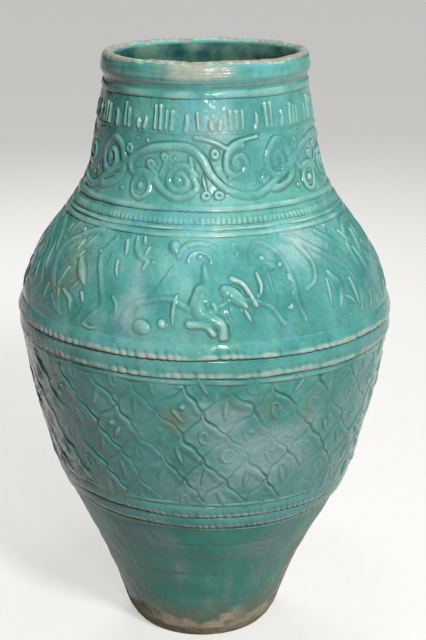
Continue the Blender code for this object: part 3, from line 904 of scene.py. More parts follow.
class Sheet:
    """A material's node tree, with short ways to add its nodes."""

    def __init__(self, name: str) -> None:
        """Makes an empty material with a principled shader.

        Args:
            name: Name of the material.
        """
        self.material = bpy.data.materials.new(name)
        self.material.use_nodes = True
        self.tree = self.material.node_tree
        self.tree.nodes.clear()
        self.shader = self.tree.nodes.new("ShaderNodeBsdfPrincipled")
        self.out = self.tree.nodes.new("ShaderNodeOutputMaterial")
        self.tree.links.new(self.shader.outputs[0], self.out.inputs["Surface"])
        self.place = self.tree.nodes.new("ShaderNodeTexCoord").outputs["Object"]

    def feed(self, node: bpy.types.Node, inputs: Feeds) -> bpy.types.Node:
        """Links outputs to a node's inputs, or sets plain values there.

        Args:
            node: The node.
            inputs: What goes into its inputs.

        Returns:
            The same node.
        """
        for name, value in inputs.items():
            if isinstance(value, Socket):
                self.tree.links.new(value, node.inputs[name])
            else:
                node.inputs[name].default_value = value
        return node

    def add(self, kind: str, inputs: Feeds, **settings: str | bool) -> bpy.types.Node:
        """Adds a node.

        Args:
            kind: Kind of node.
            inputs: What goes into its inputs.
            settings: Its own settings.

        Returns:
            The node.
        """
        node = self.tree.nodes.new("ShaderNode" + kind)
        for name, value in settings.items():
            setattr(node, name, value)
        return self.feed(node, inputs)

    def squeezed(self, across: float, up: float) -> Socket:
        """Gives object coordinates scaled sideways and upwards."""
        return self.add("Mapping", {"Vector": self.place, "Scale": (across, across, up)}).outputs[0]

    def noise(self, scale: float, detail: float, where: Socket | None = None, offset: float = 0.0) -> Socket:
        """Adds a noise, which its offset sets apart from the others, and gives its value."""
        inputs = {"W": offset, "Scale": scale, "Detail": detail, "Roughness": 0.55}
        inputs["Vector"] = self.place if where is None else where
        return self.add("TexNoise", inputs, noise_dimensions="4D").outputs["Fac"]

    def cells(self, scale: float, feature: str) -> Socket:
        """Adds a cell pattern and gives its distance."""
        node = self.add("TexVoronoi", {"Vector": self.place, "Scale": scale}, feature=feature)
        return node.outputs["Distance"]

    def kept(self, name: str) -> Socket:
        """Reads a number that a piece keeps for each vertex."""
        return self.add("Attribute", {}, attribute_name=name).outputs["Fac"]

    def sums(self, kind: str, a: Feed, b: Feed, clamp: bool = False) -> Socket:
        """Adds a sum of two values and gives its result."""
        return self.add("Math", {0: a, 1: b}, operation=kind, use_clamp=clamp).outputs[0]

    def plus(self, a: Feed, b: Feed, clamp: bool = False) -> Socket:
        """Adds two values up."""
        return self.sums("ADD", a, b, clamp)

    def less(self, a: Feed, b: Feed) -> Socket:
        """Takes the second value from the first."""
        return self.sums("SUBTRACT", a, b)

    def times(self, a: Feed, b: Feed) -> Socket:
        """Multiplies two values."""
        return self.sums("MULTIPLY", a, b)

    def swing(self, noise: Feed, amount: float) -> Socket:
        """Turns a noise into an amount that swings about nought."""
        return self.times(self.less(noise, 0.5), amount)

    def step(self, value: Feed, low: float, high: float, start: float = 0.0, end: float = 1.0) -> Socket:
        """Turns a value into a smooth step, from start at the low limit to end at the high one."""
        inputs = {"Value": value, "From Min": low, "From Max": high, "To Min": start, "To Max": end}
        return self.add("MapRange", inputs, interpolation_type="SMOOTHSTEP").outputs["Result"]

    def mix(self, share: Feed, a: Feed, b: Feed) -> Socket:
        """Mixes a share of the second colour into the first."""
        return self.add("Mix", {0: share, 6: a, 7: b}, data_type="RGBA", clamp_factor=True).outputs[2]

    def ramp(self, value: Feed, stops: list[tuple[float, Colour]]) -> Socket:
        """Turns a value into a colour.

        Args:
            value: The value.
            stops: Values and their colours.

        Returns:
            The colour.
        """
        node = self.add("ValToRGB", {"Fac": value})
        marks = node.color_ramp.elements
        while len(marks) < len(stops):
            marks.new(0.5)
        for mark, (at, colour) in zip(marks, stops):
            mark.position = at
            mark.color = colour
        return node.outputs["Color"]

    def bump(self, height: Feed, strength: float, depth: float) -> Socket:
        """Adds a fine unevenness of some depth in metres and gives its normal."""
        inputs = {"Strength": strength, "Distance": depth, "Height": height}
        return self.add("Bump", inputs).outputs["Normal"]


class GlazeSheet(Sheet):
    """A glaze's node tree, with the patterns that its layers share."""

    def __init__(self, name: str) -> None:
        """Adds the shared patterns.

        Args:
            name: Name of the material.
        """
        super().__init__(name)
        self.broad = self.noise(5.0, 3.0)
        self.mottle = self.noise(24.0, 6.0, offset=2.0)
        self.grain = self.noise(170.0, 4.0, offset=5.0)
        self.height = self.add("SeparateXYZ", {0: self.place}).outputs[2]
        self.wear = self.kept("wear")
        self.hidden = self.kept("inside")
        self.specks = self.step(self.cells(300.0, "F1"), 0.1, 0.22, 0.45, 0.0)


@dataclass(frozen=True)
class Glaze:
    """An alkaline turquoise glaze, pooled, worn and stained by long burial."""
    # An alkaline turquoise glaze, pooled and worn, with stains from long burial, painted shade in its
    # hollows, painted highlight on raised crests and painted sheen and shade in some patches.

    name: str
    deep: Colour = linear(34, 100, 95)
    body: Colour = linear(80, 145, 138)
    pale: Colour = linear(128, 178, 171)
    green: Colour = linear(66, 140, 116)
    blue: Colour = linear(98, 158, 166)
    teal: Colour = linear(22, 124, 114)
    # Dark teal of pooled glaze, also used as painted shade in hollows and grooves.
    pool_and_shade: Colour = linear(14, 66, 64)
    # Pale tone of glaze that runs thinner, also used as painted highlight on the relief's crests.
    thin_glaze_and_highlight: Colour = linear(162, 188, 174)
    # Lilac of blooming, also used as painted sheen on the front of the collar and the neck.
    lilac: Colour = linear(148, 170, 170)
    # Olive brown of staining, also used as painted shade towards the lower wall's sides and on the left
    # shoulder.
    stain_and_shade: Colour = linear(112, 124, 98)
    clay: Colour = linear(164, 168, 148)
    pink: Colour = linear(164, 158, 150)
    inside: Colour = linear(78, 108, 96)
    dust: Colour = linear(136, 132, 108)
    rough: float = 0.17
    wear: float = 0.0
    stain_and_shade_share: float = 0.75
    bloom_and_sheen: float = 0.6
    streaks: float = 0.0
    flecked: float = 0.2
    foot: float = 0.0
    scum: float = 0.05
    teal_levels: Place = (0.38, 0.46)
    index: float = 1.5
    grain_deep: float = 0.0014

    def make(self) -> bpy.types.Material:
        """Builds the material.

        Returns:
            The finished material.
        """
        sheet = GlazeSheet(self.name)
        bloom_and_sheen = sheet.plus(sheet.kept("bloom_and_sheen"), sheet.swing(sheet.noise(13.0, 6.0, offset=11.0), 2.4))
        bloom_and_sheen = sheet.step(bloom_and_sheen, 0.2, 0.95, 0.0, self.bloom_and_sheen)
        bare = sheet.plus(sheet.wear, sheet.swing(sheet.mottle, 1.7))
        bare = sheet.plus(bare, sheet.swing(sheet.grain, 0.9))
        bare = sheet.step(bare, 0.92 - self.wear, 1.2 - self.wear, 0.0, 0.9)
        clay = sheet.mix(sheet.step(sheet.mottle, 0.42, 0.6), self.clay, self.pink)
        colour = self.worn(sheet, self.aged(sheet, self.ground(sheet), bloom_and_sheen))
        if self.foot > 0.0:
            line = sheet.plus(sheet.height, sheet.swing(sheet.noise(17.0, 7.0, offset=23.0), 0.075))
            scum = sheet.step(line, self.foot, self.foot + self.scum, 0.75, 0.0)
            scum = sheet.times(scum, sheet.step(sheet.mottle, 0.35, 0.6, 0.3, 1.0))
            colour = sheet.mix(scum, colour, self.stain_and_shade)
            end = sheet.step(line, self.foot - 2.0 * MM, self.foot + 4.0 * MM, 1.0, 0.0)
            bare = sheet.sums("MAXIMUM", bare, end)
            clay = sheet.mix(sheet.step(sheet.noise(52.0, 5.0, offset=37.0), 0.5, 0.66), clay, self.dust)
        colour = sheet.mix(bare, colour, clay)
        lining = sheet.mix(sheet.step(sheet.mottle, 0.4, 0.65), self.inside, self.pool_and_shade)
        sheet.feed(sheet.shader, {"Base Color": sheet.mix(sheet.hidden, colour, lining)})
        self.surface(sheet, bloom_and_sheen, bare)
        return sheet.material

    def ground(self, sheet: GlazeSheet) -> Socket:
        """Lays the glaze's own colours.

        Args:
            sheet: The glaze's nodes.

        Returns:
            The colour.
        """
        runs = sheet.noise(26.0, 4.0, sheet.squeezed(1.0, 0.16), offset=7.0)
        tone = sheet.plus(sheet.times(sheet.broad, 0.5), sheet.times(sheet.mottle, 0.5))
        tone = sheet.plus(tone, sheet.swing(runs, 0.35))
        colour = sheet.ramp(tone, [(0.25, self.deep), (0.48, self.body), (0.72, self.pale)])
        tints = ((11.0, 43.0, (0.54, 0.64), self.green), (15.0, 47.0, (0.55, 0.63), self.blue))
        for scale, offset, (low, high), tint in tints:
            share = sheet.step(sheet.noise(scale, 5.0, offset=offset), low, high, 0.0, 0.45)
            colour = sheet.mix(share, colour, tint)
        low, high = self.teal_levels
        return sheet.mix(sheet.step(sheet.height, low, high, 0.45, 0.0), colour, self.teal)

    def aged(self, sheet: GlazeSheet, colour: Socket, bloom_and_sheen: Socket) -> Socket:
        """Lays blooming and painted sheen, streaks, and stains and painted shade over the glaze.

        Args:
            sheet: The glaze's nodes.
            colour: The colour so far.
            bloom_and_sheen: How far the glaze has bloomed, with painted sheen on the front of the collar and
                the neck.

        Returns:
            The colour.
        """
        # Blooming pales the glaze; on the front of the collar and the neck this is also painted sheen.
        colour = sheet.mix(bloom_and_sheen, colour, self.lilac)
        if self.streaks > 0.0:
            bands = sheet.noise(30.0, 4.0, sheet.squeezed(0.12, 5.0), offset=13.0)
            colour = sheet.mix(sheet.step(bands, 0.46, 0.66, 0.0, self.streaks), colour, self.thin_glaze_and_highlight)
        # Staining darkens the glaze; towards the lower wall's sides and on the left shoulder this is also
        # painted shade.
        stain_and_shade = sheet.plus(sheet.kept("stain_and_shade"), sheet.swing(sheet.noise(19.0, 6.0, offset=17.0), 2.8))
        return sheet.mix(sheet.step(stain_and_shade, 0.3, 1.1, 0.0, self.stain_and_shade_share), colour, self.stain_and_shade)

    def worn(self, sheet: GlazeSheet, colour: Socket) -> Socket:
        """Darkens the glaze in hollows and grooves, as pooled glaze and painted shade, pales it where it is
        worn or raised, as glaze that runs thinner and, on the relief's crests, painted highlight, and specks
        and crazes it.

        Args:
            sheet: The glaze's nodes.
            colour: The colour so far.

        Returns:
            The colour.
        """
        broken = sheet.step(sheet.mottle, 0.36, 0.6, 0.35, 0.85)
        # Hollows, grooves and creases are painted dark: pooled glaze and painted shade.
        colour = sheet.mix(sheet.times(sheet.kept("pool_and_shade"), broken), colour, self.pool_and_shade)
        # Worn and raised places are painted pale: glaze that runs thinner, and on the relief's crests painted
        # highlight.
        thin_glaze_and_highlight = sheet.plus(sheet.wear, sheet.times(sheet.mottle, 0.7))
        colour = sheet.mix(sheet.step(thin_glaze_and_highlight, 0.5, 1.3, 0.0, 0.75), colour, self.thin_glaze_and_highlight)
        colour = sheet.mix(sheet.step(sheet.grain, 0.5, 0.68, 0.0, 0.16), colour, self.pool_and_shade)
        colour = sheet.mix(sheet.specks, colour, self.pool_and_shade)
        flecks = sheet.step(sheet.noise(80.0, 3.0, offset=29.0), 0.58, 0.72)
        strewn = sheet.step(sheet.noise(9.0, 2.0, offset=31.0), 0.44, 0.62, 0.0, self.flecked)
        colour = sheet.mix(sheet.times(flecks, strewn), colour, self.pink)
        crazing = sheet.step(sheet.cells(34.0, "DISTANCE_TO_EDGE"), 0.003, 0.014, 0.16, 0.0)
        crazing = sheet.times(crazing, sheet.step(sheet.broad, 0.45, 0.6))
        return sheet.mix(crazing, colour, self.pool_and_shade)

    def surface(self, sheet: GlazeSheet, bloom_and_sheen: Socket, bare: Socket) -> None:
        """Sets the glaze's gloss and its fine grain.

        Args:
            sheet: The glaze's nodes.
            bloom_and_sheen: How far the glaze has bloomed, with painted sheen on the front of the collar and
                the neck.
            bare: How far it is gone.
        """
        rough = sheet.plus(self.rough, sheet.times(bloom_and_sheen, 0.14))
        rough = sheet.plus(rough, sheet.times(bare, 0.5))
        rough = sheet.plus(rough, sheet.swing(sheet.mottle, 0.22))
        rough = sheet.plus(rough, sheet.times(sheet.hidden, 0.3), True)
        rise = sheet.plus(sheet.times(sheet.grain, 0.35), sheet.mottle)
        rise = sheet.plus(rise, sheet.times(sheet.noise(75.0, 3.0, offset=41.0), 1.2))
        rise = sheet.less(rise, sheet.times(bare, 0.35))
        rise = sheet.less(rise, sheet.times(sheet.specks, 0.4))
        normal = sheet.bump(rise, 0.4, self.grain_deep)
        sheet.feed(sheet.shader, {"Roughness": rough, "IOR": self.index, "Normal": normal})


@dataclass(frozen=True)
class BareClay:
    """Low-fired buff clay without glaze."""

    name: str
    buff: Colour = linear(190, 178, 154)
    pink: Colour = linear(174, 160, 138)
    dust: Colour = linear(136, 130, 108)
    rough: float = 0.72
    grain_deep: float = 0.0012

    def make(self) -> bpy.types.Material:
        """Builds the material.

        Returns:
            The finished material.
        """
        sheet = Sheet(self.name)
        broad = sheet.noise(9.0, 4.0)
        mottle = sheet.noise(40.0, 6.0, offset=3.0)
        grain = sheet.noise(260.0, 3.0, offset=6.0)
        colour = sheet.mix(sheet.step(broad, 0.38, 0.62), self.buff, self.pink)
        colour = sheet.mix(sheet.step(mottle, 0.5, 0.72, 0.0, 0.7), colour, self.dust)
        pits = sheet.step(sheet.cells(240.0, "F1"), 0.12, 0.28, 0.8, 0.0)
        colour = sheet.mix(pits, colour, self.dust)
        colour = sheet.mix(sheet.times(sheet.kept("pool_and_shade"), 0.6), colour, self.dust)
        rough = sheet.plus(self.rough, sheet.times(mottle, 0.2), True)
        rise = sheet.less(sheet.plus(mottle, sheet.times(grain, 0.5)), pits)
        normal = sheet.bump(rise, 0.6, self.grain_deep)
        sheet.feed(sheet.shader, {"Base Color": colour, "Roughness": rough, "Normal": normal})
        return sheet.material


RELIEF_GLAZE = Glaze("relief_glaze")
RIM_GLAZE = Glaze(
    "rim_glaze",
    lilac=linear(162, 158, 142),
    clay=linear(128, 122, 104),
    pink=linear(142, 126, 112),
    wear=0.3,
    bloom_and_sheen=0.8,
    streaks=0.5,
)
STRIP_GLAZE = Glaze("strip_glaze", wear=0.05, flecked=0.7)
LOWER_GLAZE = Glaze(
    "lower_glaze",
    deep=linear(14, 86, 72),
    body=linear(28, 138, 121),
    pale=linear(70, 158, 146),
    green=linear(34, 110, 84),
    blue=linear(66, 134, 132),
    teal=linear(28, 112, 96),
    lilac=linear(112, 142, 140),
    stain_and_shade=linear(104, 98, 76),
    clay=linear(190, 178, 154),
    pink=linear(174, 160, 138),
    rough=0.4,
    bloom_and_sheen=0.85,
    stain_and_shade_share=0.8,
    foot=0.034,
)


@dataclass
class Finishes:
    """The jar's materials by the record's slots."""

    relief: bpy.types.Material = field(default_factory=RELIEF_GLAZE.make)
    rim: bpy.types.Material = field(default_factory=RIM_GLAZE.make)
    strip: bpy.types.Material = field(default_factory=STRIP_GLAZE.make)
    lower: bpy.types.Material = field(default_factory=LOWER_GLAZE.make)
    clay: bpy.types.Material = field(default_factory=BareClay("bare_clay").make)


def wall_section(wall: CadWall, low: float, high: float, rows: int, sink: float,
                 seen: Place = (0.0, 1.0)) -> np.ndarray:
    """Lays out the closed section of a stretch of wall.

    Args:
        wall: The wall's outlines.
        low: Its lowest height.
        high: Its highest height.
        rows: Points on the outside, spaced evenly along what is seen of it.
        sink: How far the outside lies below the wall's outline, for relief to fill.
        seen: The heights between which no strip covers the wall.

    Returns:
        Radius and height of the points, the outside first, from the bottom up.
    """
    samples, inner_rows, covered = 400, 6, 0.2
    fine = np.linspace(low, high, samples)
    radii = wall.outer(fine) - sink
    shown = np.where((fine[1:] > seen[0]) & (fine[1:] < seen[1]), 1.0, covered)
    along = np.concatenate([[0.0], np.cumsum(np.hypot(np.diff(fine), np.diff(radii)) * shown)])
    heights = np.interp(np.linspace(0.0, along[-1], rows), along, fine)
    outside = np.stack([wall.outer(heights) - sink, heights], 1)
    back = np.linspace(high, low, inner_rows)
    inside = np.stack([wall.inner(back), back], 1)
    return np.vstack([outside, inside])


@dataclass
class WallBand:
    """A moulded stretch of wall with its band of relief."""

    name: str
    node: str
    low: float
    high: float
    columns: int
    rows: int
    slot: str = "relief_glaze"
    sink: float = 1.2 * MM
    unevenness: float = 0.3 * MM
    # Scales the wear mark, which on the relief's crests is also painted highlight.
    worn: float = 1.0
    seen: Place = (0.0, 1.0)
    seed: int = 1

    def build(self, wall: CadWall, relief: SettledRelief, material: bpy.types.Material) -> None:
        """Spins the wall, presses the relief into it and dresses it.

        Args:
            wall: The wall's outlines.
            relief: The band's ornament.
            material: Its finish.
        """
        section = wall_section(wall, self.low, self.high, self.rows, self.sink, self.seen)
        ring = RingPiece(self.name, section, self.columns)
        ring.crease((0, self.rows - 1))
        outside = ring.row < self.rows
        height, wear, pool_and_shade = relief.read(ring.angle, ring.level)
        uneven = self.unevenness * ring.uneven(self.seed, 0.06)
        uneven += 0.6 * self.unevenness * ring.uneven(self.seed + 5, 0.022, 11)
        uneven += 0.25 * self.unevenness * ring.uneven(self.seed + 9, 0.009, 11)
        raised = np.where(outside, np.clip(self.sink + height * MM + uneven, 0.0, None), 0.0)
        ring.push(raised, wall.lean(ring.level))
        # The relief's crests are painted pale and its grooves dark: thinner and pooled glaze, with painted
        # highlight and painted shade.
        ring.weather(self.worn * wear * outside, pool_and_shade * outside, ~outside)
        ring.finish(material, self.slot, self.node)


@dataclass
class Neck:
    """The tapering neck: a band of plain uprights over a band of scrolls."""

    GROUPS = (
        (Upright.BAR, 3), (Upright.LEAF, 1), (Upright.BAR, 2), (Upright.LEAF, 2),
        (Upright.BAR, 4), (Upright.LEAF, 1), (Upright.BAR, 1), (Upright.LEAF, 2),
        (Upright.BAR, 3), (Upright.LEAF, 1), (Upright.BAR, 2), (Upright.LEAF, 1),
    )
    LEAVES = {
        1: (([(0.0, 0.0), (0.8, 9.0), (0.3, 19.0)], 8.4),),
        2: (([(0.0, 0.0), (-0.5, 6.0), (-0.2, 11.0)], 8.0), ([(3.4, 0.0), (3.9, 7.0), (3.6, 14.0)], 8.0)),
    }

    seam: float = 0.6682
    low: float = 0.5752
    high: float = 0.7131
    seen: Place = (0.591, 1.0)
    crest: float = -16.0
    panel: float = 90.0
    upright_foot: float = 673.5
    upright_head: float = 700.0
    upright_end: float = 177.0
    bar_width: float = 5.0
    bar_pitch: float = 3.0
    bar_room: float = 7.2
    leaf_room: float = 3.4
    leaf_pitch: float = 3.0
    base_line: float = 669.8

    def build(self, wall: CadWall, finishes: Finishes) -> None:
        """Builds both bands of the neck.

        Args:
            wall: The wall's outlines.
            finishes: The jar's materials.
        """
        upper = WallBand("neck_uprights", "neck_wall", self.seam, self.high, 1080, 52, worn=1.1, seed=3)
        upper.build(wall, self.uprights(wall), finishes.relief)
        top = self.seam - 0.1 * MM
        lower = WallBand(
            "neck_scrolls", "neck_wall", self.low, top, 1060, 86, worn=0.75, seen=self.seen, seed=4,
        )
        lower.build(wall, self.scrolls(wall), finishes.relief)

    def uprights(self, wall: CadWall) -> SettledRelief:
        """Models groups of plain bars with leaves between them.

        Args:
            wall: The wall that carries them.

        Returns:
            The band of relief.
        """
        band = ReliefField(wall, self.seam, self.high)
        draw = np.random.default_rng(12)
        high, edge = 2.4, 0.5
        foot = self.upright_foot
        angle = -180.0
        place = 0
        while angle < self.upright_end:
            kind, count = self.GROUPS[place % len(self.GROUPS)]
            place += 1
            lean = draw.uniform(-0.5, 0.5)
            if kind is Upright.BAR:
                for k in range(count):
                    at = angle + self.bar_pitch * k
                    top = self.upright_head - draw.uniform(0.0, 9.0)
                    stout = self.bar_width * draw.uniform(0.75, 1.3)
                    bar = [(at, foot + draw.uniform(0.0, 1.5)), (at + lean, top)]
                    band.ribbon(bar, stout, high, edge, 1.15)
                angle += self.bar_pitch * (count - 1) + self.bar_room
            else:
                for points, width in self.LEAVES[count]:
                    band.leaf([(angle + a, foot + z) for a, z in points], width, high, edge)
                angle += self.leaf_pitch * count + self.leaf_room
        band.ribbon([(a, self.base_line) for a in (-181.0, -60.0, 60.0, 181.0)], 2.4, 0.9, 0.6)
        return band.settle(1, 0.7, 31)

    def scrolls(self, wall: CadWall) -> SettledRelief:
        """Models the winding stem with its spirals, volutes, leaves and beads.

        Args:
            wall: The wall that carries them.

        Returns:
            The band of relief.
        """
        band = ReliefField(wall, self.low, self.seam)
        for turn in range(4):
            self.scroll_panel(band, self.crest + turn * self.panel, 1.04 if turn in (0, 2) else 1.0)
        return band.settle(3, 1.9, 41)

    def scroll_panel(self, band: ReliefField, middle: float, grand: float) -> None:
        """Models one swing of the stem.

        Args:
            band: The band that it goes on.
            middle: Angle of the stem's crest.
            grand: Size of the large medallion as a share.
        """
        high, edge = 2.3, 1.3
        medal = middle - 36.5
        swells = ((middle + 4.4, 616.5, 46.0), (middle + 32.4, 636.5, 48.0), (medal, 634.5, 66.0),
                  (middle - 15.3, 607.4, 38.0))
        for a, z, width in swells:
            band.dome((a, z), width, 1.1)

        stem = [(-45.0, 603.0), (-42.6, 607.0), (-34.0, 620.0), (-25.6, 633.3), (-17.0, 645.5), (-9.1, 653.0),
                (-1.3, 656.0), (6.3, 654.1), (14.1, 643.4), (19.2, 624.6), (26.4, 606.5), (33.8, 599.0),
                (40.0, 598.6), (45.0, 603.0)]
        band.ribbon(moved(stem, middle), 10.4, high, edge)
        branch = [(-23.5, 635.0), (-22.0, 623.5), (-15.0, 624.5), (-7.8, 616.0), (-4.0, 606.0), (1.4, 598.4),
                  (8.0, 599.8), (12.0, 609.0), (11.0, 622.0)]
        band.ribbon(moved(branch, middle), 8.8, high, edge)
        band.spiral((middle + 4.4, 616.5), (41.0, 40.0), 1.6, 25.0, 1.0, 9.0, high, edge, 0.16)
        band.boss((middle + 3.8, 616.5), 9.0, high, edge)
        band.leaf(moved([(10.8, 630.0), (9.8, 637.0), (8.2, 643.5)], middle), 7.0, high, edge)
        band.ring((middle - 15.3, 607.4), (28.0, 29.0), 8.2, high, edge)
        band.boss((middle - 15.1, 607.6), 12.0, high + 0.6, edge + 0.5)
        for a, z, foot in ((-11.3, 633.5, (-7.8, 621.5)), (-5.0, 643.0, (-6.2, 622.5))):
            band.ring((middle + a, z), (6.6, 7.0), 6.2, high, edge)
            band.ribbon([(middle + foot[0], foot[1]), (middle + a, z - 5.0)], 4.6, high, edge)
        band.ring((middle - 23.6, 649.5), (7.6, 8.4), 6.6, high, edge)
        band.boss((middle - 26.5, 602.5), 7.0, high, edge)
        band.boss((middle - 20.0, 662.0), 5.0, high, edge)
        for a in (16.0, 22.4):
            band.ring((middle + a, 599.4), (8.4, 8.4), 6.6, high, edge)
        band.leaf(moved([(16.0, 606.0), (15.4, 615.0), (15.4, 627.0)], middle), 5.2, high, edge)
        notch = [(10.5, 664.5), (17.0, 662.0), (22.5, 657.0), (26.2, 651.5), (30.5, 657.0), (36.0, 661.5),
                 (42.0, 663.5)]
        band.ribbon(moved(notch, middle), 7.0, high, edge, 0.8, Ridge.LEAF)
        band.ring((middle + 20.4, 646.5), (7.0, 7.0), 6.4, high, edge)
        band.spiral((middle + 32.4, 636.5), (42.0, 40.0), 1.6, 75.0, 1.0, 9.2, high, edge, 0.16)
        band.boss((middle + 32.2, 637.0), 9.0, high, edge)
        band.spiral((medal, 634.5), (56.0 * grand, 66.0 * grand), 1.9, 250.0, 1.0, 10.4, high, edge, 0.16)
        band.boss((medal - 0.4, 635.5), 10.0, high, edge)
        band.leaf([(medal + 2.6, 630.0), (medal + 3.4, 623.0), (medal + 1.2, 616.5)], 6.0, high, edge)
        for k, (a, tip) in enumerate(((-48.4, 623.0), (-45.8, 627.0), (-43.2, 622.0))):
            blade = [(-46.0, 609.5), (a, tip - 6.0), (a - 0.6 + 0.6 * k, tip)]
            band.leaf(moved(blade, middle), 5.6, high, edge)
        beads = [(27.6, 621.0), (38.8, 611.5), (-30.8, 614.5), (-13.0, 660.0), (0.8, 641.5), (-2.0, 631.0)]
        for place in moved(beads, middle):
            band.boss(place, 5.6, high, edge)


@dataclass
class Shoulder:
    """The shoulder, covered by stems, long leaves, spirals and bosses."""

    STEMS = (
        ([(-42.0, 554.3), (-54.0, 545.8), (-59.4, 525.6), (-57.0, 498.9), (-48.0, 460.5)], 8.0),
        ([(-35.0, 551.1), (-38.6, 530.9), (-34.4, 504.2), (-32.4, 480.8), (-37.5, 461.6)], 7.0),
        ([(-9.0, 539.4), (-6.6, 549.0), (-1.6, 553.3), (3.4, 549.0), (6.0, 539.4)], 6.0),
        ([(-25.0, 470.1), (-21.0, 488.2), (-10.0, 495.7), (0.0, 484.0), (10.0, 495.7), (20.0, 488.2),
          (24.0, 470.1)], 6.6),
        ([(22.4, 526.6), (15.8, 536.2), (19.6, 551.1), (25.4, 540.5), (29.2, 510.6), (28.4, 490.4),
          (31.0, 466.9)], 6.6),
        ([(29.0, 554.3), (42.0, 538.3), (53.0, 509.6), (56.6, 487.2), (54.4, 462.7)], 8.0),
        ([(35.0, 545.8), (38.8, 524.5), (36.6, 507.4), (32.6, 498.9)], 6.4),
    )
    LEAVES = (
        ([(-26.0, 555.4), (-24.6, 543.7), (-18.0, 527.7)], 9.5),
        ([(-46.0, 524.5), (-43.4, 512.8), (-40.6, 498.9)], 11.0),
        ([(0.0, 496.8), (0.0, 513.8), (0.0, 534.1)], 10.5),
        ([(46.5, 553.3), (53.0, 537.3), (58.4, 520.2)], 10.5),
        ([(44.0, 511.7), (46.8, 496.8), (44.6, 473.3)], 11.0),
    )
    BLADES = (
        ([(-67.1, 528.5), (-64.4, 513.3), (-62.2, 499.0)], 6.4),
        ([(-49.8, 542.6), (-50.7, 534.5), (-50.7, 527.2)], 6.0),
        ([(-46.2, 532.0), (-47.3, 526.8), (-48.0, 521.0)], 5.6),
        ([(-49.0, 512.0), (-50.7, 498.0), (-53.1, 482.6)], 7.0),
        ([(-48.1, 486.9), (-44.9, 479.1), (-44.4, 466.3)], 7.4),
        ([(-51.1, 486.4), (-50.5, 479.1), (-49.8, 472.0)], 5.4),
        ([(-54.9, 477.5), (-51.7, 466.7), (-47.2, 459.5)], 6.0),
        ([(-58.1, 486.9), (-59.2, 477.0), (-59.6, 466.9)], 6.4),
        ([(-71.0, 502.8), (-69.0, 489.0), (-67.7, 474.5)], 6.4),
        ([(-75.0, 530.0), (-73.0, 516.0), (-72.0, 500.0)], 6.4),
        ([(-41.2, 492.1), (-40.3, 485.9), (-39.4, 480.2)], 6.0),
        ([(-37.9, 459.0), (-34.0, 455.3), (-32.0, 460.5)], 5.0),
        ([(-62.5, 551.7), (-62.8, 545.9), (-63.0, 540.2)], 5.6),
        ([(-30.0, 551.9), (-28.9, 544.2), (-28.1, 535.4)], 7.4),
        ([(-22.8, 557.0), (-22.3, 553.0), (-21.9, 548.2)], 6.0),
        ([(-19.8, 546.0), (-20.3, 540.9), (-20.9, 535.8)], 7.4),
        ([(-19.3, 532.2), (-19.9, 527.0), (-20.7, 521.8)], 6.4),
        ([(-30.5, 530.4), (-29.9, 521.4), (-28.6, 511.7)], 5.6),
        ([(-29.3, 492.0), (-27.5, 482.3), (-27.7, 471.4)], 5.6),
        ([(-8.4, 500.5), (-8.6, 485.0), (-8.5, 468.2)], 6.0),
        ([(11.4, 485.4), (12.2, 478.9), (13.0, 471.4)], 5.0),
        ([(1.8, 492.9), (3.2, 485.6), (2.3, 478.3)], 6.0),
        ([(17.3, 522.7), (18.0, 511.5), (16.8, 498.7)], 6.0),
        ([(27.6, 517.2), (28.2, 510.8), (28.6, 503.6)], 5.0),
        ([(42.0, 506.1), (41.3, 491.6), (41.6, 475.8)], 5.0),
        ([(52.4, 498.4), (52.9, 480.1), (53.4, 464.1)], 6.4),
        ([(60.3, 546.6), (61.8, 538.5), (63.6, 529.3)], 7.0),
        ([(62.4, 526.5), (64.6, 510.7), (66.4, 492.9)], 7.0),
    )
    RIDGES = (
        ([(28.9, 557.6), (35.7, 552.8), (41.0, 541.0), (47.6, 522.9), (52.2, 510.5), (54.2, 504.8)], 3.4),
        ([(34.1, 546.3), (36.7, 534.8), (38.6, 524.7), (38.0, 509.0)], 3.4),
        ([(-11.4, 527.9), (-14.3, 513.4), (-16.0, 503.0), (-18.6, 489.8), (-20.5, 476.6)], 2.8),
        ([(-1.3, 519.4), (3.1, 507.1), (5.7, 496.8), (7.2, 479.9), (8.8, 470.2)], 3.0),
        ([(0.3, 521.0), (3.4, 510.0)], 3.0),
        ([(20.4, 526.8), (21.1, 516.6), (21.6, 504.3), (22.3, 495.8)], 3.4),
    )
    FOLDS = (
        ([(-1.5, 508.1), (-2.2, 491.9), (-0.3, 480.4), (2.6, 475.6), (5.0, 470.7), (5.6, 458.5)], 15.0),
        ([(-3.6, 471.9), (0.3, 469.9), (2.5, 461.8)], 11.0),
        ([(8.6, 517.4), (12.2, 511.9), (14.0, 501.5), (15.0, 491.0)], 9.0),
    )
    BOSSES = (
        (-53.3, 552.9, 7.0), (-39.6, 534.7, 6.0), (-11.0, 547.7, 17.0), (-1.0, 538.6, 7.0),
        (-18.5, 465.5, 18.0), (-12.3, 471.2, 12.0), (9.7, 549.8, 8.0), (11.0, 541.2, 7.0),
        (19.7, 534.8, 9.0), (25.6, 528.2, 8.0), (26.4, 484.4, 7.0), (52.7, 555.0, 9.0),
        (6.1, 552.1, 5.0), (-17.5, 530.6, 5.0),
    )
    SWELLS = (
        (3.0, 486.0, 76.0, 2.2), (-11.0, 547.7, 26.0, 0.8), (-1.0, 540.0, 34.0, 0.9),
        (22.0, 536.0, 34.0, 0.9), (-50.0, 500.0, 80.0, 1.0), (-16.0, 468.0, 40.0, 1.0),
    )

    low: float = 0.4321
    joint: float = 0.507
    high: float = 0.5749
    seen: Place = (0.4505, 0.5595)
    panel: float = 120.0
    plain: Place = (-34.0, 46.0)
    filled: Place = (461.0, 551.0)

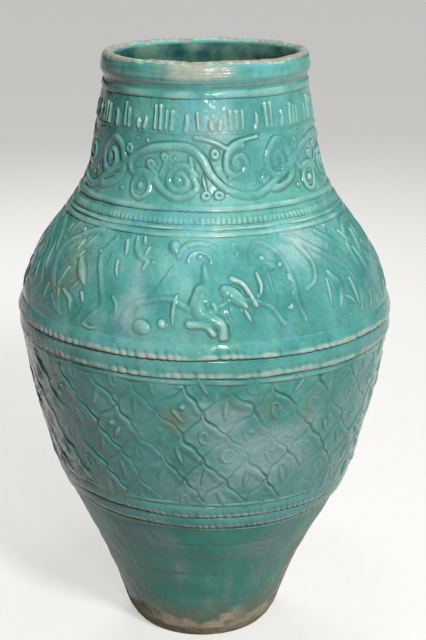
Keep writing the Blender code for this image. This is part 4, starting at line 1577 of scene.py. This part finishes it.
    def build(self, wall: CadWall, finishes: Finishes) -> None:
        """Builds the shoulder in two rings that meet at a joint.

        Args:
            wall: The wall's outlines.
            finishes: The jar's materials.
        """
        band = ReliefField(wall, self.low, self.high)
        self.model_stems(band)
        self.model_front(band)
        for turn in (1, 2):
            self.model_palmette(band, turn * self.panel)
        self.fill(band)
        relief = band.settle(3, 1.9, 51)
        for name, low, high in (("low", self.low, self.joint), ("high", self.joint, self.high)):
            ring = WallBand(
                "shoulder_relief_" + name, "shoulder_wall", low, high, 1060, 84,
                worn=1.1, seen=self.seen, seed=6,
            )
            ring.build(wall, relief, finishes.relief)

    def model_stems(self, band: ReliefField) -> None:
        """Models the low stems and broad leaves of the three panels.

        Args:
            band: The band that they go on.
        """
        high, edge = 2.2, 0.6
        for turn in range(3):
            middle = turn * self.panel
            for points, width in self.STEMS:
                band.ribbon(moved(points, middle), 1.5 * width, 1.4, 0.5, 0.75)
            for points, width in self.LEAVES:
                band.leaf(moved(points, middle), 1.2 * width, high, edge)
            arch = [(-5.4, 535.0), (-4.0, 541.0), (-1.5, 543.5), (1.0, 541.0), (2.4, 535.0)]
            band.ribbon(moved(arch, middle), 4.6, high, edge)

    def model_palmette(self, band: ReliefField, middle: float) -> None:
        """Models the palmette and curls at the middle of a panel that faces away from the front.

        Args:
            band: The band that it goes on.
            middle: Angle of the panel's middle.
        """
        high, edge = 2.2, 0.6

        for a, z, sense, start in ((-9.8, 516.0, 1.0, 330.0), (9.8, 516.0, -1.0, 210.0)):
            band.spiral((middle + a, z), (22.0, 23.0), 1.35, start, sense, 5.4, high, edge, 0.2)
            band.boss((middle + a, z), 6.0, high, edge)
        blades = (
            ([(1.6, 499.0), (5.0, 509.0), (4.6, 525.0)], 7.0),
            ([(6.0, 488.0), (9.2, 478.0), (8.6, 465.0)], 7.6),
            ([(3.2, 484.0), (4.0, 475.0), (5.4, 462.0)], 6.0),
        )
        for sense in (-1.0, 1.0):
            for points, width in blades:
                band.leaf([(middle + sense * a, z) for a, z in points], width, high, edge)

    def model_front(self, band: ReliefField) -> None:
        """Models the blades, fine ridges, bosses and folds that lie between the stems at the front.

        Args:
            band: The band that they go on.
        """
        high, edge = 2.5, 0.9
        for a, z, width, swell in self.SWELLS:
            band.dome((a, z), width, swell)
        for points, width in self.BLADES:
            band.leaf(points, 1.2 * width, high, edge)
        for points, width in self.RIDGES:
            band.ribbon(points, 1.25 * width, 1.5, 0.6, 0.7, Ridge.LEAF)
        for points, width in self.FOLDS:
            band.ribbon(points, width, 3.6, 1.6, 0.8)
        band.leaf([(5.8, 506.0), (9.0, 499.5), (12.6, 487.0)], 21.0, 3.2, 1.4)
        band.boss((8.6, 500.0), 17.0, 3.6, 1.2)
        for a, z, width in self.BOSSES:
            band.boss((a, z), width, high, edge)
        for a, z in ((-11.0, 547.7), (-18.5, 465.5)):
            band.boss((a, z), 7.0, high + 0.9, edge)

    def fill(self, band: ReliefField) -> None:
        """Fills the ground that is left with faint leaves and beads that follow the flow.

        Args:
            band: The band that they go on.
        """
        draw = np.random.default_rng(77)
        beads = 8.0
        half = 0.5 * self.panel
        for room, tries in ((18.0, 900), (12.0, 1200), (beads, 900)):
            for _ in range(tries):
                a = draw.uniform(-180.0, 180.0)
                z = draw.uniform(*self.filled)
                if self.plain[0] < a < self.plain[1] or not band.bare((a, z), room):
                    continue
                high = draw.uniform(0.9, 2.4)
                flow = ((a + half) % self.panel - half) / half + draw.uniform(-0.4, 0.4)
                reach = draw.uniform(0.55, 1.0) * room
                if room == beads:
                    band.boss((a, z), 5.0, 0.7 * high, 0.4)
                    continue
                lean = flow * reach / 4.2
                bend = draw.uniform(-1.0, 1.0)
                blade = [(a - lean, z + reach), (a + bend, z), (a + lean, z - reach)]
                band.leaf(blade, 0.5 * room, high, 0.5)


@dataclass
class Belly:
    """The belly, covered by a wavy lattice with small curls and leaves in its swelling cells."""

    low: float = 0.2171
    joint: float = 0.3205
    high: float = 0.4319
    seen: Place = (0.2385, 0.4025)
    scallop: float = 0.32
    bend: float = 0.42
    cells: int = 26
    rows: int = 5
    first: float = 243.4
    last: float = 397.8

    def build(self, wall: CadWall, finishes: Finishes) -> None:
        """Builds the belly in two rings that meet at a joint.

        Args:
            wall: The wall's outlines.
            finishes: The jar's materials.
        """
        band = ReliefField(wall, self.low, self.high)
        self.lattice(band)
        relief = band.settle(2, 2.8, 61, 0.38)
        for name, low, high in (("low", self.low, self.joint), ("high", self.joint, self.high)):
            ring = WallBand(
                "belly_lattice_" + name, "belly_wall", low, high, 1120, 82,
                worn=0.6, seen=self.seen, seed=8,
            )
            ring.build(wall, relief, finishes.relief)

    def lattice(self, band: ReliefField) -> None:
        """Models both sets of wavy lines and the ornament between them.

        Args:
            band: The band that they go on.
        """
        drop, ledge = 3.4, 3.6
        band.slope(0.0, 2.6)
        draw = np.random.default_rng(19)
        pitch = 360.0 / self.cells
        half = (self.last - self.first) / self.rows
        rows = np.linspace(-0.1, self.rows + 0.1, 120)
        sway = rows - self.bend * np.sin(TURN * rows) / TURN
        for column in range(self.cells):
            for sense, high, deep in ((-1.0, 2.0, 2.2), (1.0, 1.1, 0.9)):
                scallop = self.scallop * np.sin(2.0 * TURN * rows + draw.uniform(0.0, TURN))
                angles = (column + sense * 0.5 * sway) * pitch + scallop
                path = [(float(a), self.first + half * float(row)) for a, row in zip(angles, rows)]
                flat = np.array(band.flat(path))
                band.score(flat, 1.7, deep)
                band.stroke(flat - np.array([0.0, drop]), np.full(len(flat), ledge), high, 0.0, Ridge.LEAF)
        band.slope(0.3, 1.0)
        for row in range(self.rows + 1):
            for column in range(self.cells):
                a = (column + 0.5 * ((row + 1) % 2)) * pitch + draw.uniform(-0.6, 0.6)
                z = self.first + half * row + draw.uniform(-2.0, 2.0)
                band.dome((a, z), 44.0, 1.0)
                self.curl(band, a, z, draw)

    @staticmethod
    def curl(band: ReliefField, a: float, z: float, draw: np.random.Generator) -> None:
        """Models the ornament in one cell.

        Args:
            band: The band that it goes on.
            a: Angle of the cell's middle.
            z: Height of the cell's middle.
            draw: Source of the small differences between cells.
        """
        high, edge = draw.uniform(1.2, 2.3), 0.6
        sense = 1.0 if draw.uniform() < 0.5 else -1.0
        kind = Curl(int(draw.integers(len(Curl))))
        if kind is Curl.SPIRAL:
            band.spiral((a, z + 2.0), (14.0, 19.0), 0.85, 270.0, sense, 5.6, high, edge, 0.5)
        elif kind is Curl.RING:
            band.ring((a, z + 1.0), (10.0, 16.0), 4.6, high, edge)
        elif kind is Curl.LEAF:
            blade = [(a - 0.9 * sense, z + 13.0), (a, z + 2.0), (a + 0.7 * sense, z - 10.0)]
            band.leaf(blade, 9.0, high, edge)
        else:
            band.boss((a + 0.7 * sense, z + 6.0), 9.0, high, edge)
            blade = [(a - 1.6 * sense, z + 2.0), (a - 0.6 * sense, z - 6.0), (a + 0.8 * sense, z - 13.0)]
            band.leaf(blade, 7.0, high, edge)


@dataclass
class Fillet:
    """A plain roll or fine fillet of clay laid round the wall."""

    node: str
    columns: int = 480
    rows: int = 18
    slot: str = "strip_glaze"
    seed: int = 1
    bed: float = 1.6 * MM

    def lay(self, wall: CadWall) -> tuple[RingPiece, np.ndarray]:
        """Spins the strip's rounded section, with its back bedded in the wall.

        Args:
            wall: The wall that carries it.

        Returns:
            The strip, and how far each vertex stands off the wall, as a share of the most.
        """
        front = [(r, z) for z, r in CadWall.rings(self.node, Side.OUT)]
        low, high = front[0][1], front[-1][1]
        back = [(float(wall.outer(np.array(z))) - self.bed, z) for z in (high, 0.5 * (low + high), low)]
        section = rounded_loop([*front, *back], 2, self.rows)
        ring = RingPiece(self.node + "_laid", section, self.columns)
        face = section[:, 0] - wall.outer(section[:, 1])
        return ring, face[ring.row] / max(float(face.max()), 0.1 * MM)

    def build(self, wall: CadWall, finishes: Finishes) -> None:
        """Works the strip over and dresses it.

        Args:
            wall: The wall that carries it.
            finishes: The jar's materials.
        """
        ring, proud = self.lay(wall)
        uneven = ring.uneven(self.seed, 0.06)
        ring.shift(0.25 * MM * uneven, 0.45 * MM * ring.waver(self.seed + 1, 0.11))
        worn = np.clip(1.1 * proud - 0.45, 0.0, 0.6) * (0.75 + 0.25 * uneven)
        ring.weather(worn, 0.6 - 1.1 * proud, ring.zero)
        ring.finish(finishes.strip, self.slot, self.node)


@dataclass
class BeadCord(Fillet):
    """The row of small beads at the foot of the neck."""

    columns: int = 1980
    rows: int = 14
    beads: int = 165

    def build(self, wall: CadWall, finishes: Finishes) -> None:
        """Pinches the strip into beads and dresses it.

        Args:
            wall: The wall that carries it.
            finishes: The jar's materials.
        """
        ring, proud = self.lay(wall)
        proud = np.clip(proud, 0.0, 1.0)
        bead = np.abs(np.sin(0.5 * (self.beads * ring.angle + 0.5 * ring.waver(self.seed, 0.04))))
        size = 0.65 + 0.35 * ring.waver(self.seed + 3, 0.02)
        ring.shift((0.8 * bead ** 0.8 * size - 0.9) * MM * proud, ring.zero)
        pool_and_shade = np.clip(0.6 - 0.7 * bead, 0.0, 1.0) * size + np.clip(0.4 - proud, 0.0, 1.0)
        ring.weather(proud * bead * 0.5, pool_and_shade, ring.zero)
        ring.finish(finishes.strip, self.slot, self.node)


@dataclass
class Cordon(Fillet):
    """A broad strip that flares down to a nicked, rope-like edge."""

    columns: int = 1200
    rows: int = 30
    nicks: int = 130
    depth: float = 2.0 * MM

    def build(self, wall: CadWall, finishes: Finishes) -> None:
        """Nicks the strip's lower edge aslant and dresses it.

        Args:
            wall: The wall that carries it.
            finishes: The jar's materials.
        """
        ring, proud = self.lay(wall)
        proud = np.clip(proud, 0.0, 1.0)
        low, high = ring.level.min(), ring.level.max()
        up = (ring.level - low) / (high - low)
        stray = 1.6 * ring.waver(self.seed, 0.05)
        lobe = np.abs(np.sin(0.5 * (self.nicks * ring.angle + stray) + 1.1 * up)) ** 0.6
        near = np.clip(1.0 - np.abs(up - 0.2) / 0.36, 0.0, 1.0) ** 0.7
        near = near * np.clip(0.7 + 0.45 * ring.waver(self.seed + 6, 0.05), 0.2, 1.2)
        nick = (1.0 - lobe) * near
        uneven = ring.waver(self.seed + 2, 0.07)
        rough = ring.uneven(self.seed + 8, 0.02)
        sway = 0.5 * uneven + 0.6 * ring.waver(self.seed + 4, 0.16)
        outwards = (0.35 * uneven + 0.16 * rough - 0.3) * MM - self.depth * nick
        ring.shift(proud * outwards, (sway + 0.9 * nick * (up < 0.3)) * MM)
        edge = np.clip(1.0 - np.abs(up - 0.16) / 0.3, 0.0, 1.0)
        worn = edge * (0.75 + 0.3 * lobe * near + 0.35 * rough) + 0.08 * proud
        # Painted dark: the nicks, as pooled glaze and painted shade, the hidden underside of the overhanging
        # lower edge, as painted shadow, and the top where the strip leaves the wall.
        under = (proud < 0.2) * (up < 0.5)
        pool_and_shade = 1.1 * nick + 0.9 * under + 1.6 * np.clip(up - 0.85, 0.0, 1.0)
        ring.weather(worn * (proud > 0.25), pool_and_shade, ring.zero)
        ring.finish(finishes.strip, self.slot, self.node)


@dataclass
class RimCollar:
    """The groove, the rounded collar and the worn lip; places are heights or radii in metres."""

    node: str = "rim_collar"
    columns: int = 640
    rows: int = 96
    middle: float = 0.1175
    lip_inner: float = 0.1156
    inner_levels: tuple[float, ...] = (0.7455, 0.735, 0.725)
    lip_low: float = 0.742
    lip_tall: float = 0.008
    bulge: float = 0.7295
    bulge_tall: float = 0.0055
    bare_from: float = 0.7464
    bare_over: float = 0.0008
    crest: float = 0.7335
    crest_tall: float = 0.009
    groove: float = 0.7212
    groove_tall: float = 0.0045
    inside_from: float = 0.747
    inside_over: float = 0.004
    chip_angle: float = 0.75
    chip_wide: float = 0.1

    def build(self, wall: CadWall, finishes: Finishes) -> None:
        """Spins the rim, wears its lip and dresses it.

        Args:
            wall: The wall's outlines.
            finishes: The jar's materials.
        """
        ring = RingPiece("rim_collar_glazed", self.section(wall), self.columns)
        level = ring.level
        outside = ring.section[ring.row, 0] > self.middle
        uneven = ring.uneven(21, 0.07)
        fine = ring.uneven(22, 0.018)
        thrown = np.sin(level / (0.55 * MM) + ring.waver(25, 0.3))
        top = np.clip((level - self.lip_low) / self.lip_tall, 0.0, 1.0)
        bulge = np.exp(-(((level - self.bulge) / self.bulge_tall) ** 2)) - 0.8 * top
        chips = np.clip(ring.waver(23, 0.03) - 0.75, 0.0, 1.0)
        chips += 1.2 * np.exp(-(((ring.angle - self.chip_angle) / self.chip_wide) ** 2))
        outwards = (0.35 * uneven + 0.12 * fine + 0.09 * thrown) * np.where(outside, 1.0, 0.5)
        outwards += outside * (bulge - 0.9 * chips * top)
        ring.shift(outwards * MM, (0.45 * ring.waver(24, 0.12) - 0.9 * chips - 0.3) * MM * top)
        front = 0.5 + 0.5 * np.cos(ring.angle)
        worn = np.clip((level - self.bare_from - 0.6 * MM * fine) / self.bare_over, 0.0, 1.0)
        worn = worn * (0.6 + 0.4 * front + 0.2 * fine)
        crest = 0.28 * np.clip(1.0 - np.abs(level - self.crest) / self.crest_tall, 0.0, 1.0)
        # The groove under the collar is painted dark: pooled glaze and painted shade.
        groove = 0.75 * np.clip(1.0 - np.abs(level - self.groove) / self.groove_tall, 0.0, 1.0)
        inside = np.clip((self.inside_from - level) / self.inside_over, 0.0, 1.0)
        ring.weather(np.maximum(worn + chips * top, outside * crest), outside * groove, inside * ~outside)
        ring.finish(finishes.rim, "rim_glaze", self.node)

    def section(self, wall: CadWall) -> np.ndarray:
        """Lays out the rim's rounded section.

        Args:
            wall: The wall's outlines.

        Returns:
            The closed section as radius and height.
        """
        out = [(r, z) for z, r in CadWall.rings(self.node, Side.OUT)]
        low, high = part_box(self.node)[0].z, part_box(self.node)[1].z
        inner = [(float(wall.inner(np.array(z))), z) for z in (*self.inner_levels, low)]
        lip = [(0.5 * (out[-1][0] + self.lip_inner), high + 0.2 * MM), (self.lip_inner, high)]
        return rounded_loop([*out, *lip, *inner], 2, self.rows)


@dataclass
class LowerWall:
    """The plain wall that tapers to the foot, with tool marks and a ragged edge of glaze."""

    node: str = "lower_wall"
    low: float = 0.0163
    high: float = 0.2168
    columns: int = 560
    rows: int = 120
    sink: float = 0.9 * MM
    flush: float = 12.0 * MM
    grooves: int = 18
    groove_levels: Place = (0.05, 0.19)
    scuffs: int = 90
    scuff_levels: Place = (0.045, 0.19)
    girth: float = 0.15

    def build(self, wall: CadWall, finishes: Finishes) -> None:
        """Spins the wall, marks it with the tool and dresses it.

        Args:
            wall: The wall's outlines.
            finishes: The jar's materials.
        """
        section = wall_section(wall, self.low, self.high, self.rows, self.sink)
        ring = RingPiece("lower_wall_glazed", section, self.columns)
        ring.crease((0, self.rows - 1))
        outside = ring.row < self.rows
        draw = np.random.default_rng(72)
        marks = self.tooled(ring, draw) + self.scuffed(ring, draw)
        uneven = 0.45 * ring.uneven(73, 0.07) + 0.2 * ring.uneven(74, 0.02, 11)
        uneven += 0.1 * ring.uneven(75, 0.01, 11)
        flush = np.clip((ring.level - self.low) / self.flush, 0.0, 1.0)
        height = np.clip(self.sink + (marks + uneven) * MM * flush, 0.0, None)
        ring.push(height * outside, wall.lean(ring.level))
        worn = np.clip(0.25 * uneven + 0.1, 0.0, 0.4) + 1.2 * patched(BARED, ring.angle, ring.level)
        ring.weather(worn * outside, np.clip(-0.9 * marks, 0.0, 0.5) * outside, ~outside)
        ring.finish(finishes.lower, "lower_glaze", self.node)

    def tooled(self, ring: RingPiece, draw: np.random.Generator) -> np.ndarray:
        """Gives the long grooves that a tool left round the wall.

        Args:
            ring: The wall.
            draw: Source of the differences between grooves.

        Returns:
            Their height in millimetres.
        """
        level = ring.level + 2.0 * MM * ring.waver(71, 0.2)
        marks = np.zeros(len(level))
        for _ in range(self.grooves):
            at = draw.uniform(*self.groove_levels)
            wide = draw.uniform(1.2, 3.4) * MM
            arc = np.clip(0.3 + ring.waver(int(draw.integers(1000)), 0.25), 0.0, 1.0)
            marks += draw.uniform(-0.45, 0.3) * np.exp(-(((level - at) / wide) ** 2)) * arc
        return marks

    def scuffed(self, ring: RingPiece, draw: np.random.Generator) -> np.ndarray:
        """Gives the short slanting scuffs on the wall.

        Args:
            ring: The wall.
            draw: Source of the differences between scuffs.

        Returns:
            Their height in millimetres.
        """
        marks = np.zeros(len(ring.level))
        for _ in range(self.scuffs):
            around = (ring.angle - draw.uniform(-math.pi, math.pi) + math.pi) % TURN - math.pi
            above = ring.level - draw.uniform(*self.scuff_levels)
            tilt = draw.uniform(-0.9, 0.9)
            along = self.girth * around * math.cos(tilt) + above * math.sin(tilt)
            across = above * math.cos(tilt) - self.girth * around * math.sin(tilt)
            size = np.hypot(along / (draw.uniform(4.0, 11.0) * MM), across / (draw.uniform(1.4, 2.4) * MM))
            marks += draw.uniform(-0.8, 0.5) * np.exp(-(size * size))
        return marks


@dataclass
class Foot:
    """The slab that closes the bottom, with its worn resting edge; places are in metres."""

    node: str = "base_disc"
    columns: int = 320
    edge_from: float = 0.086
    rim_from: float = 0.088
    plug: float = 0.0842
    step: float = 2.5 * MM
    ledge: float = 0.0163
    flush: float = 6.0 * MM

    def build(self, finishes: Finishes) -> None:
        """Spins the slab, wears its edge and dresses it.

        Args:
            finishes: The jar's materials.
        """
        out = [(r, z) for z, r in CadWall.rings(self.node, Side.OUT)]
        edge = sorted(((r, z) for r, z in out if r > self.edge_from), key=lambda p: p[1])
        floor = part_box(self.node)[1].z
        outer = edge[-1][1] - 0.1 * MM
        corners = [*edge[:-1], (edge[-1][0], outer), (self.plug, outer), (self.plug, floor)]
        path = [corners[0]]
        for (r, z), (next_r, next_z) in zip(corners, corners[1:]):
            count = max(2, int(math.hypot(next_r - r, next_z - z) / self.step))
            for k in range(1, count + 1):
                path.append((r + (next_r - r) * k / count, z + (next_z - z) * k / count))
        top = [(float(r), floor) for r in np.linspace(self.plug, 0.0, 16)[1:]]
        under = [(float(r), 0.0) for r in np.linspace(0.0, corners[0][0], 18)[:-1]]
        ring = RingPiece("foot_slab", np.array([*under, *path, *top]), self.columns, True)
        ring.crease((len(under), len(under) + path.index((edge[-1][0], outer))))
        rim = (ring.section[ring.row, 0] > self.rim_from) & (ring.level > 1.0 * MM)
        rough = ring.uneven(81, 0.03) + 0.6 * ring.uneven(82, 0.011)
        chip = np.clip(ring.waver(83, 0.05) - 0.8, 0.0, 1.0)
        flush = np.clip((self.ledge - ring.level) / self.flush, 0.0, 1.0)
        ring.shift((0.35 * rough - 1.6 * chip) * flush * MM * rim, ring.zero)
        ring.weather(np.where(rim, 0.5 + 0.3 * rough, 0.3), (0.2 - 0.2 * rough) * rim, ring.zero)
        ring.finish(finishes.clay, "bare_clay", self.node)


@dataclass
class SeamCoil:
    """A coil of soft clay pressed over a joint on the inside."""

    node: str
    seed: int
    columns: int = 240
    rows: int = 16
    bed: float = 0.2 * MM
    presses: float = 46.0
    dent: float = 0.9 * MM

    def build(self, finishes: Finishes) -> None:
        """Spins the coil, presses finger marks into it and dresses it.

        Args:
            finishes: The jar's materials.
        """
        face = [(r, z) for z, r in CadWall.rings(self.node, Side.IN)]
        low, high = face[0][1], face[-1][1]
        back = [(r + self.bed, z) for z, r in CadWall.rings(self.node, Side.OUT)]
        section = rounded_loop([*back, *reversed([p for p in face if low < p[1] < high])], 1, self.rows)
        ring = RingPiece(self.node + "_pressed", section, self.columns)
        middle = 0.5 * (section[:, 0].min() + section[:, 0].max())
        inward = np.clip((middle - section[ring.row, 0]) / (middle - section[:, 0].min()), 0.0, 1.0)
        dents = 0.5 + 0.5 * np.sin(self.presses * ring.angle + 1.5 * ring.waver(self.seed, 0.1))
        ring.shift(self.dent * dents * inward, ring.zero)
        ring.weather(0.4 * inward, np.clip(dents * inward, 0.0, 0.8), ring.zero + 1.0)
        ring.finish(finishes.clay, "bare_clay", self.node)


@dataclass(frozen=True)
class Lamp:
    """A soft round lamp that looks at the jar, and that the glaze mirrors or doesn't."""

    name: str
    place: tuple[float, float, float]
    width: float
    power: float
    mirrored: bool = True

    def hang(self, aim: tuple[float, float, float]) -> None:
        """Hangs the lamp.

        Args:
            aim: The place that it looks at.
        """
        bpy.ops.object.light_add(type="AREA", location=self.place)
        lamp = bpy.context.object
        lamp.name = self.name
        lamp.data.shape = "DISK"
        lamp.data.size = self.width
        lamp.data.energy = self.power
        lamp.visible_glossy = self.mirrored
        away = lamp.location.copy()
        away.x -= aim[0]
        away.y -= aim[1]
        away.z -= aim[2]
        lamp.rotation_mode = "QUATERNION"
        lamp.rotation_quaternion = away.to_track_quat("Z", "Y")


LAMPS = (
    Lamp("key", (0.82, -1.94, 2.15), 0.5, 87.0, False),
    Lamp("glint", (0.35, -2.2, 1.5), 0.28, 15.0),
    Lamp("sheen", (1.5, 0.1, 2.1), 1.2, 8.0),
    Lamp("back", (-0.3, 2.1, 1.9), 1.2, 46.0, False),
    Lamp("above", (0.0, 0.0, 2.4), 0.5, 9.0, False),
)


@dataclass
class Studio:
    """The camera at the photograph's viewing angle, soft lamps and a pale floor."""

    eye: tuple[float, float, float] = (0.0, -1.706, 0.958)
    pitch: float = 17.96
    lens: float = 78.5
    sensor: float = 36.0
    sideways: float = 0.0125
    aim: tuple[float, float, float] = (0.0, 0.0, 0.4)
    floor_width: float = 300.0
    floor_tone: Colour = linear(238, 237, 234)
    floor_speck: Colour = linear(210, 208, 204)
    floor_rough: float = 0.9
    floor_glow: float = 0.62
    ground_tone: Colour = linear(70, 70, 69)
    sky_tone: Colour = linear(240, 242, 244)
    sky_light: float = 0.045

    def build(self) -> None:
        """Sets up the camera, the floor, the world and the lamps."""
        self.camera()
        self.floor()
        self.world()
        for lamp in LAMPS:
            lamp.hang(self.aim)
        bpy.context.scene.view_settings.view_transform = "Standard"

    def camera(self) -> None:
        """Places the camera."""
        bpy.ops.object.camera_add(location=self.eye, rotation=(math.radians(90.0 - self.pitch), 0.0, 0.0))
        camera = bpy.context.object
        camera.data.lens = self.lens
        camera.data.sensor_width = self.sensor
        camera.data.shift_x = self.sideways
        bpy.context.scene.camera = camera

    def floor(self) -> None:
        """Lays a plain pale floor."""
        bpy.ops.object.select_all(action="DESELECT")
        bpy.ops.mesh.primitive_plane_add(size=self.floor_width)
        floor = bpy.context.object
        floor.name = "studio_floor"
        sheet = Sheet("studio_floor")
        speckle = sheet.step(sheet.noise(60.0, 3.0), 0.3, 0.7, 0.0, 0.06)
        tone = sheet.mix(speckle, self.floor_tone, self.floor_speck)
        sheet.feed(sheet.shader, {"Base Color": tone, "Roughness": self.floor_rough})
        self.even_out(sheet, tone)
        floor.data.materials.append(sheet.material)

    def even_out(self, sheet: Sheet, tone: Socket) -> None:
        """Keeps the floor evenly pale to the eye, with the jar's shadow, and dim as a source of light.

        Args:
            sheet: The floor's material.
            tone: Its pale colour.
        """
        glow = sheet.add("Emission", {"Color": tone})
        shown = sheet.add("MixShader", {0: self.floor_glow, 1: sheet.shader.outputs[0], 2: glow.outputs[0]})
        ground = sheet.add("BsdfDiffuse", {"Color": self.ground_tone})
        rays = sheet.add("LightPath", {}).outputs
        seen = sheet.sums("MAXIMUM", rays["Is Camera Ray"], rays["Is Glossy Ray"])
        seen = sheet.sums("MAXIMUM", seen, rays["Is Transmission Ray"])
        both = sheet.add("MixShader", {0: seen, 1: ground.outputs[0], 2: shown.outputs[0]})
        sheet.feed(sheet.out, {"Surface": both.outputs[0]})

    def world(self) -> None:
        """Fills the room with even pale light."""
        world = bpy.data.worlds.new("studio")
        bpy.context.scene.world = world
        world.use_nodes = True
        sky = world.node_tree.nodes["Background"]
        sky.inputs["Color"].default_value = self.sky_tone
        sky.inputs["Strength"].default_value = self.sky_light


def main() -> None:
    """Builds the jar piece by piece and lights it."""
    logging.basicConfig(level=logging.INFO, format="%(message)s")
    wall = CadWall()
    finishes = Finishes()
    Foot().build(finishes)
    LowerWall().build(wall, finishes)
    Belly().build(wall, finishes)
    Shoulder().build(wall, finishes)
    Neck().build(wall, finishes)
    RimCollar().build(wall, finishes)
    for place, node in enumerate(FILLETS):
        Fillet(node, seed=100 + 10 * place).build(wall, finishes)
    BeadCord("neck_bead_cord", seed=190).build(wall, finishes)
    for place, (node, nicks) in enumerate(CORDONS.items()):
        Cordon(node, nicks=nicks, seed=200 + 10 * place).build(wall, finishes)
    for place, node in enumerate(COILS):
        SeamCoil(node, 300 + place).build(finishes)
    Studio().build()


if __name__ == "__main__":
    main()
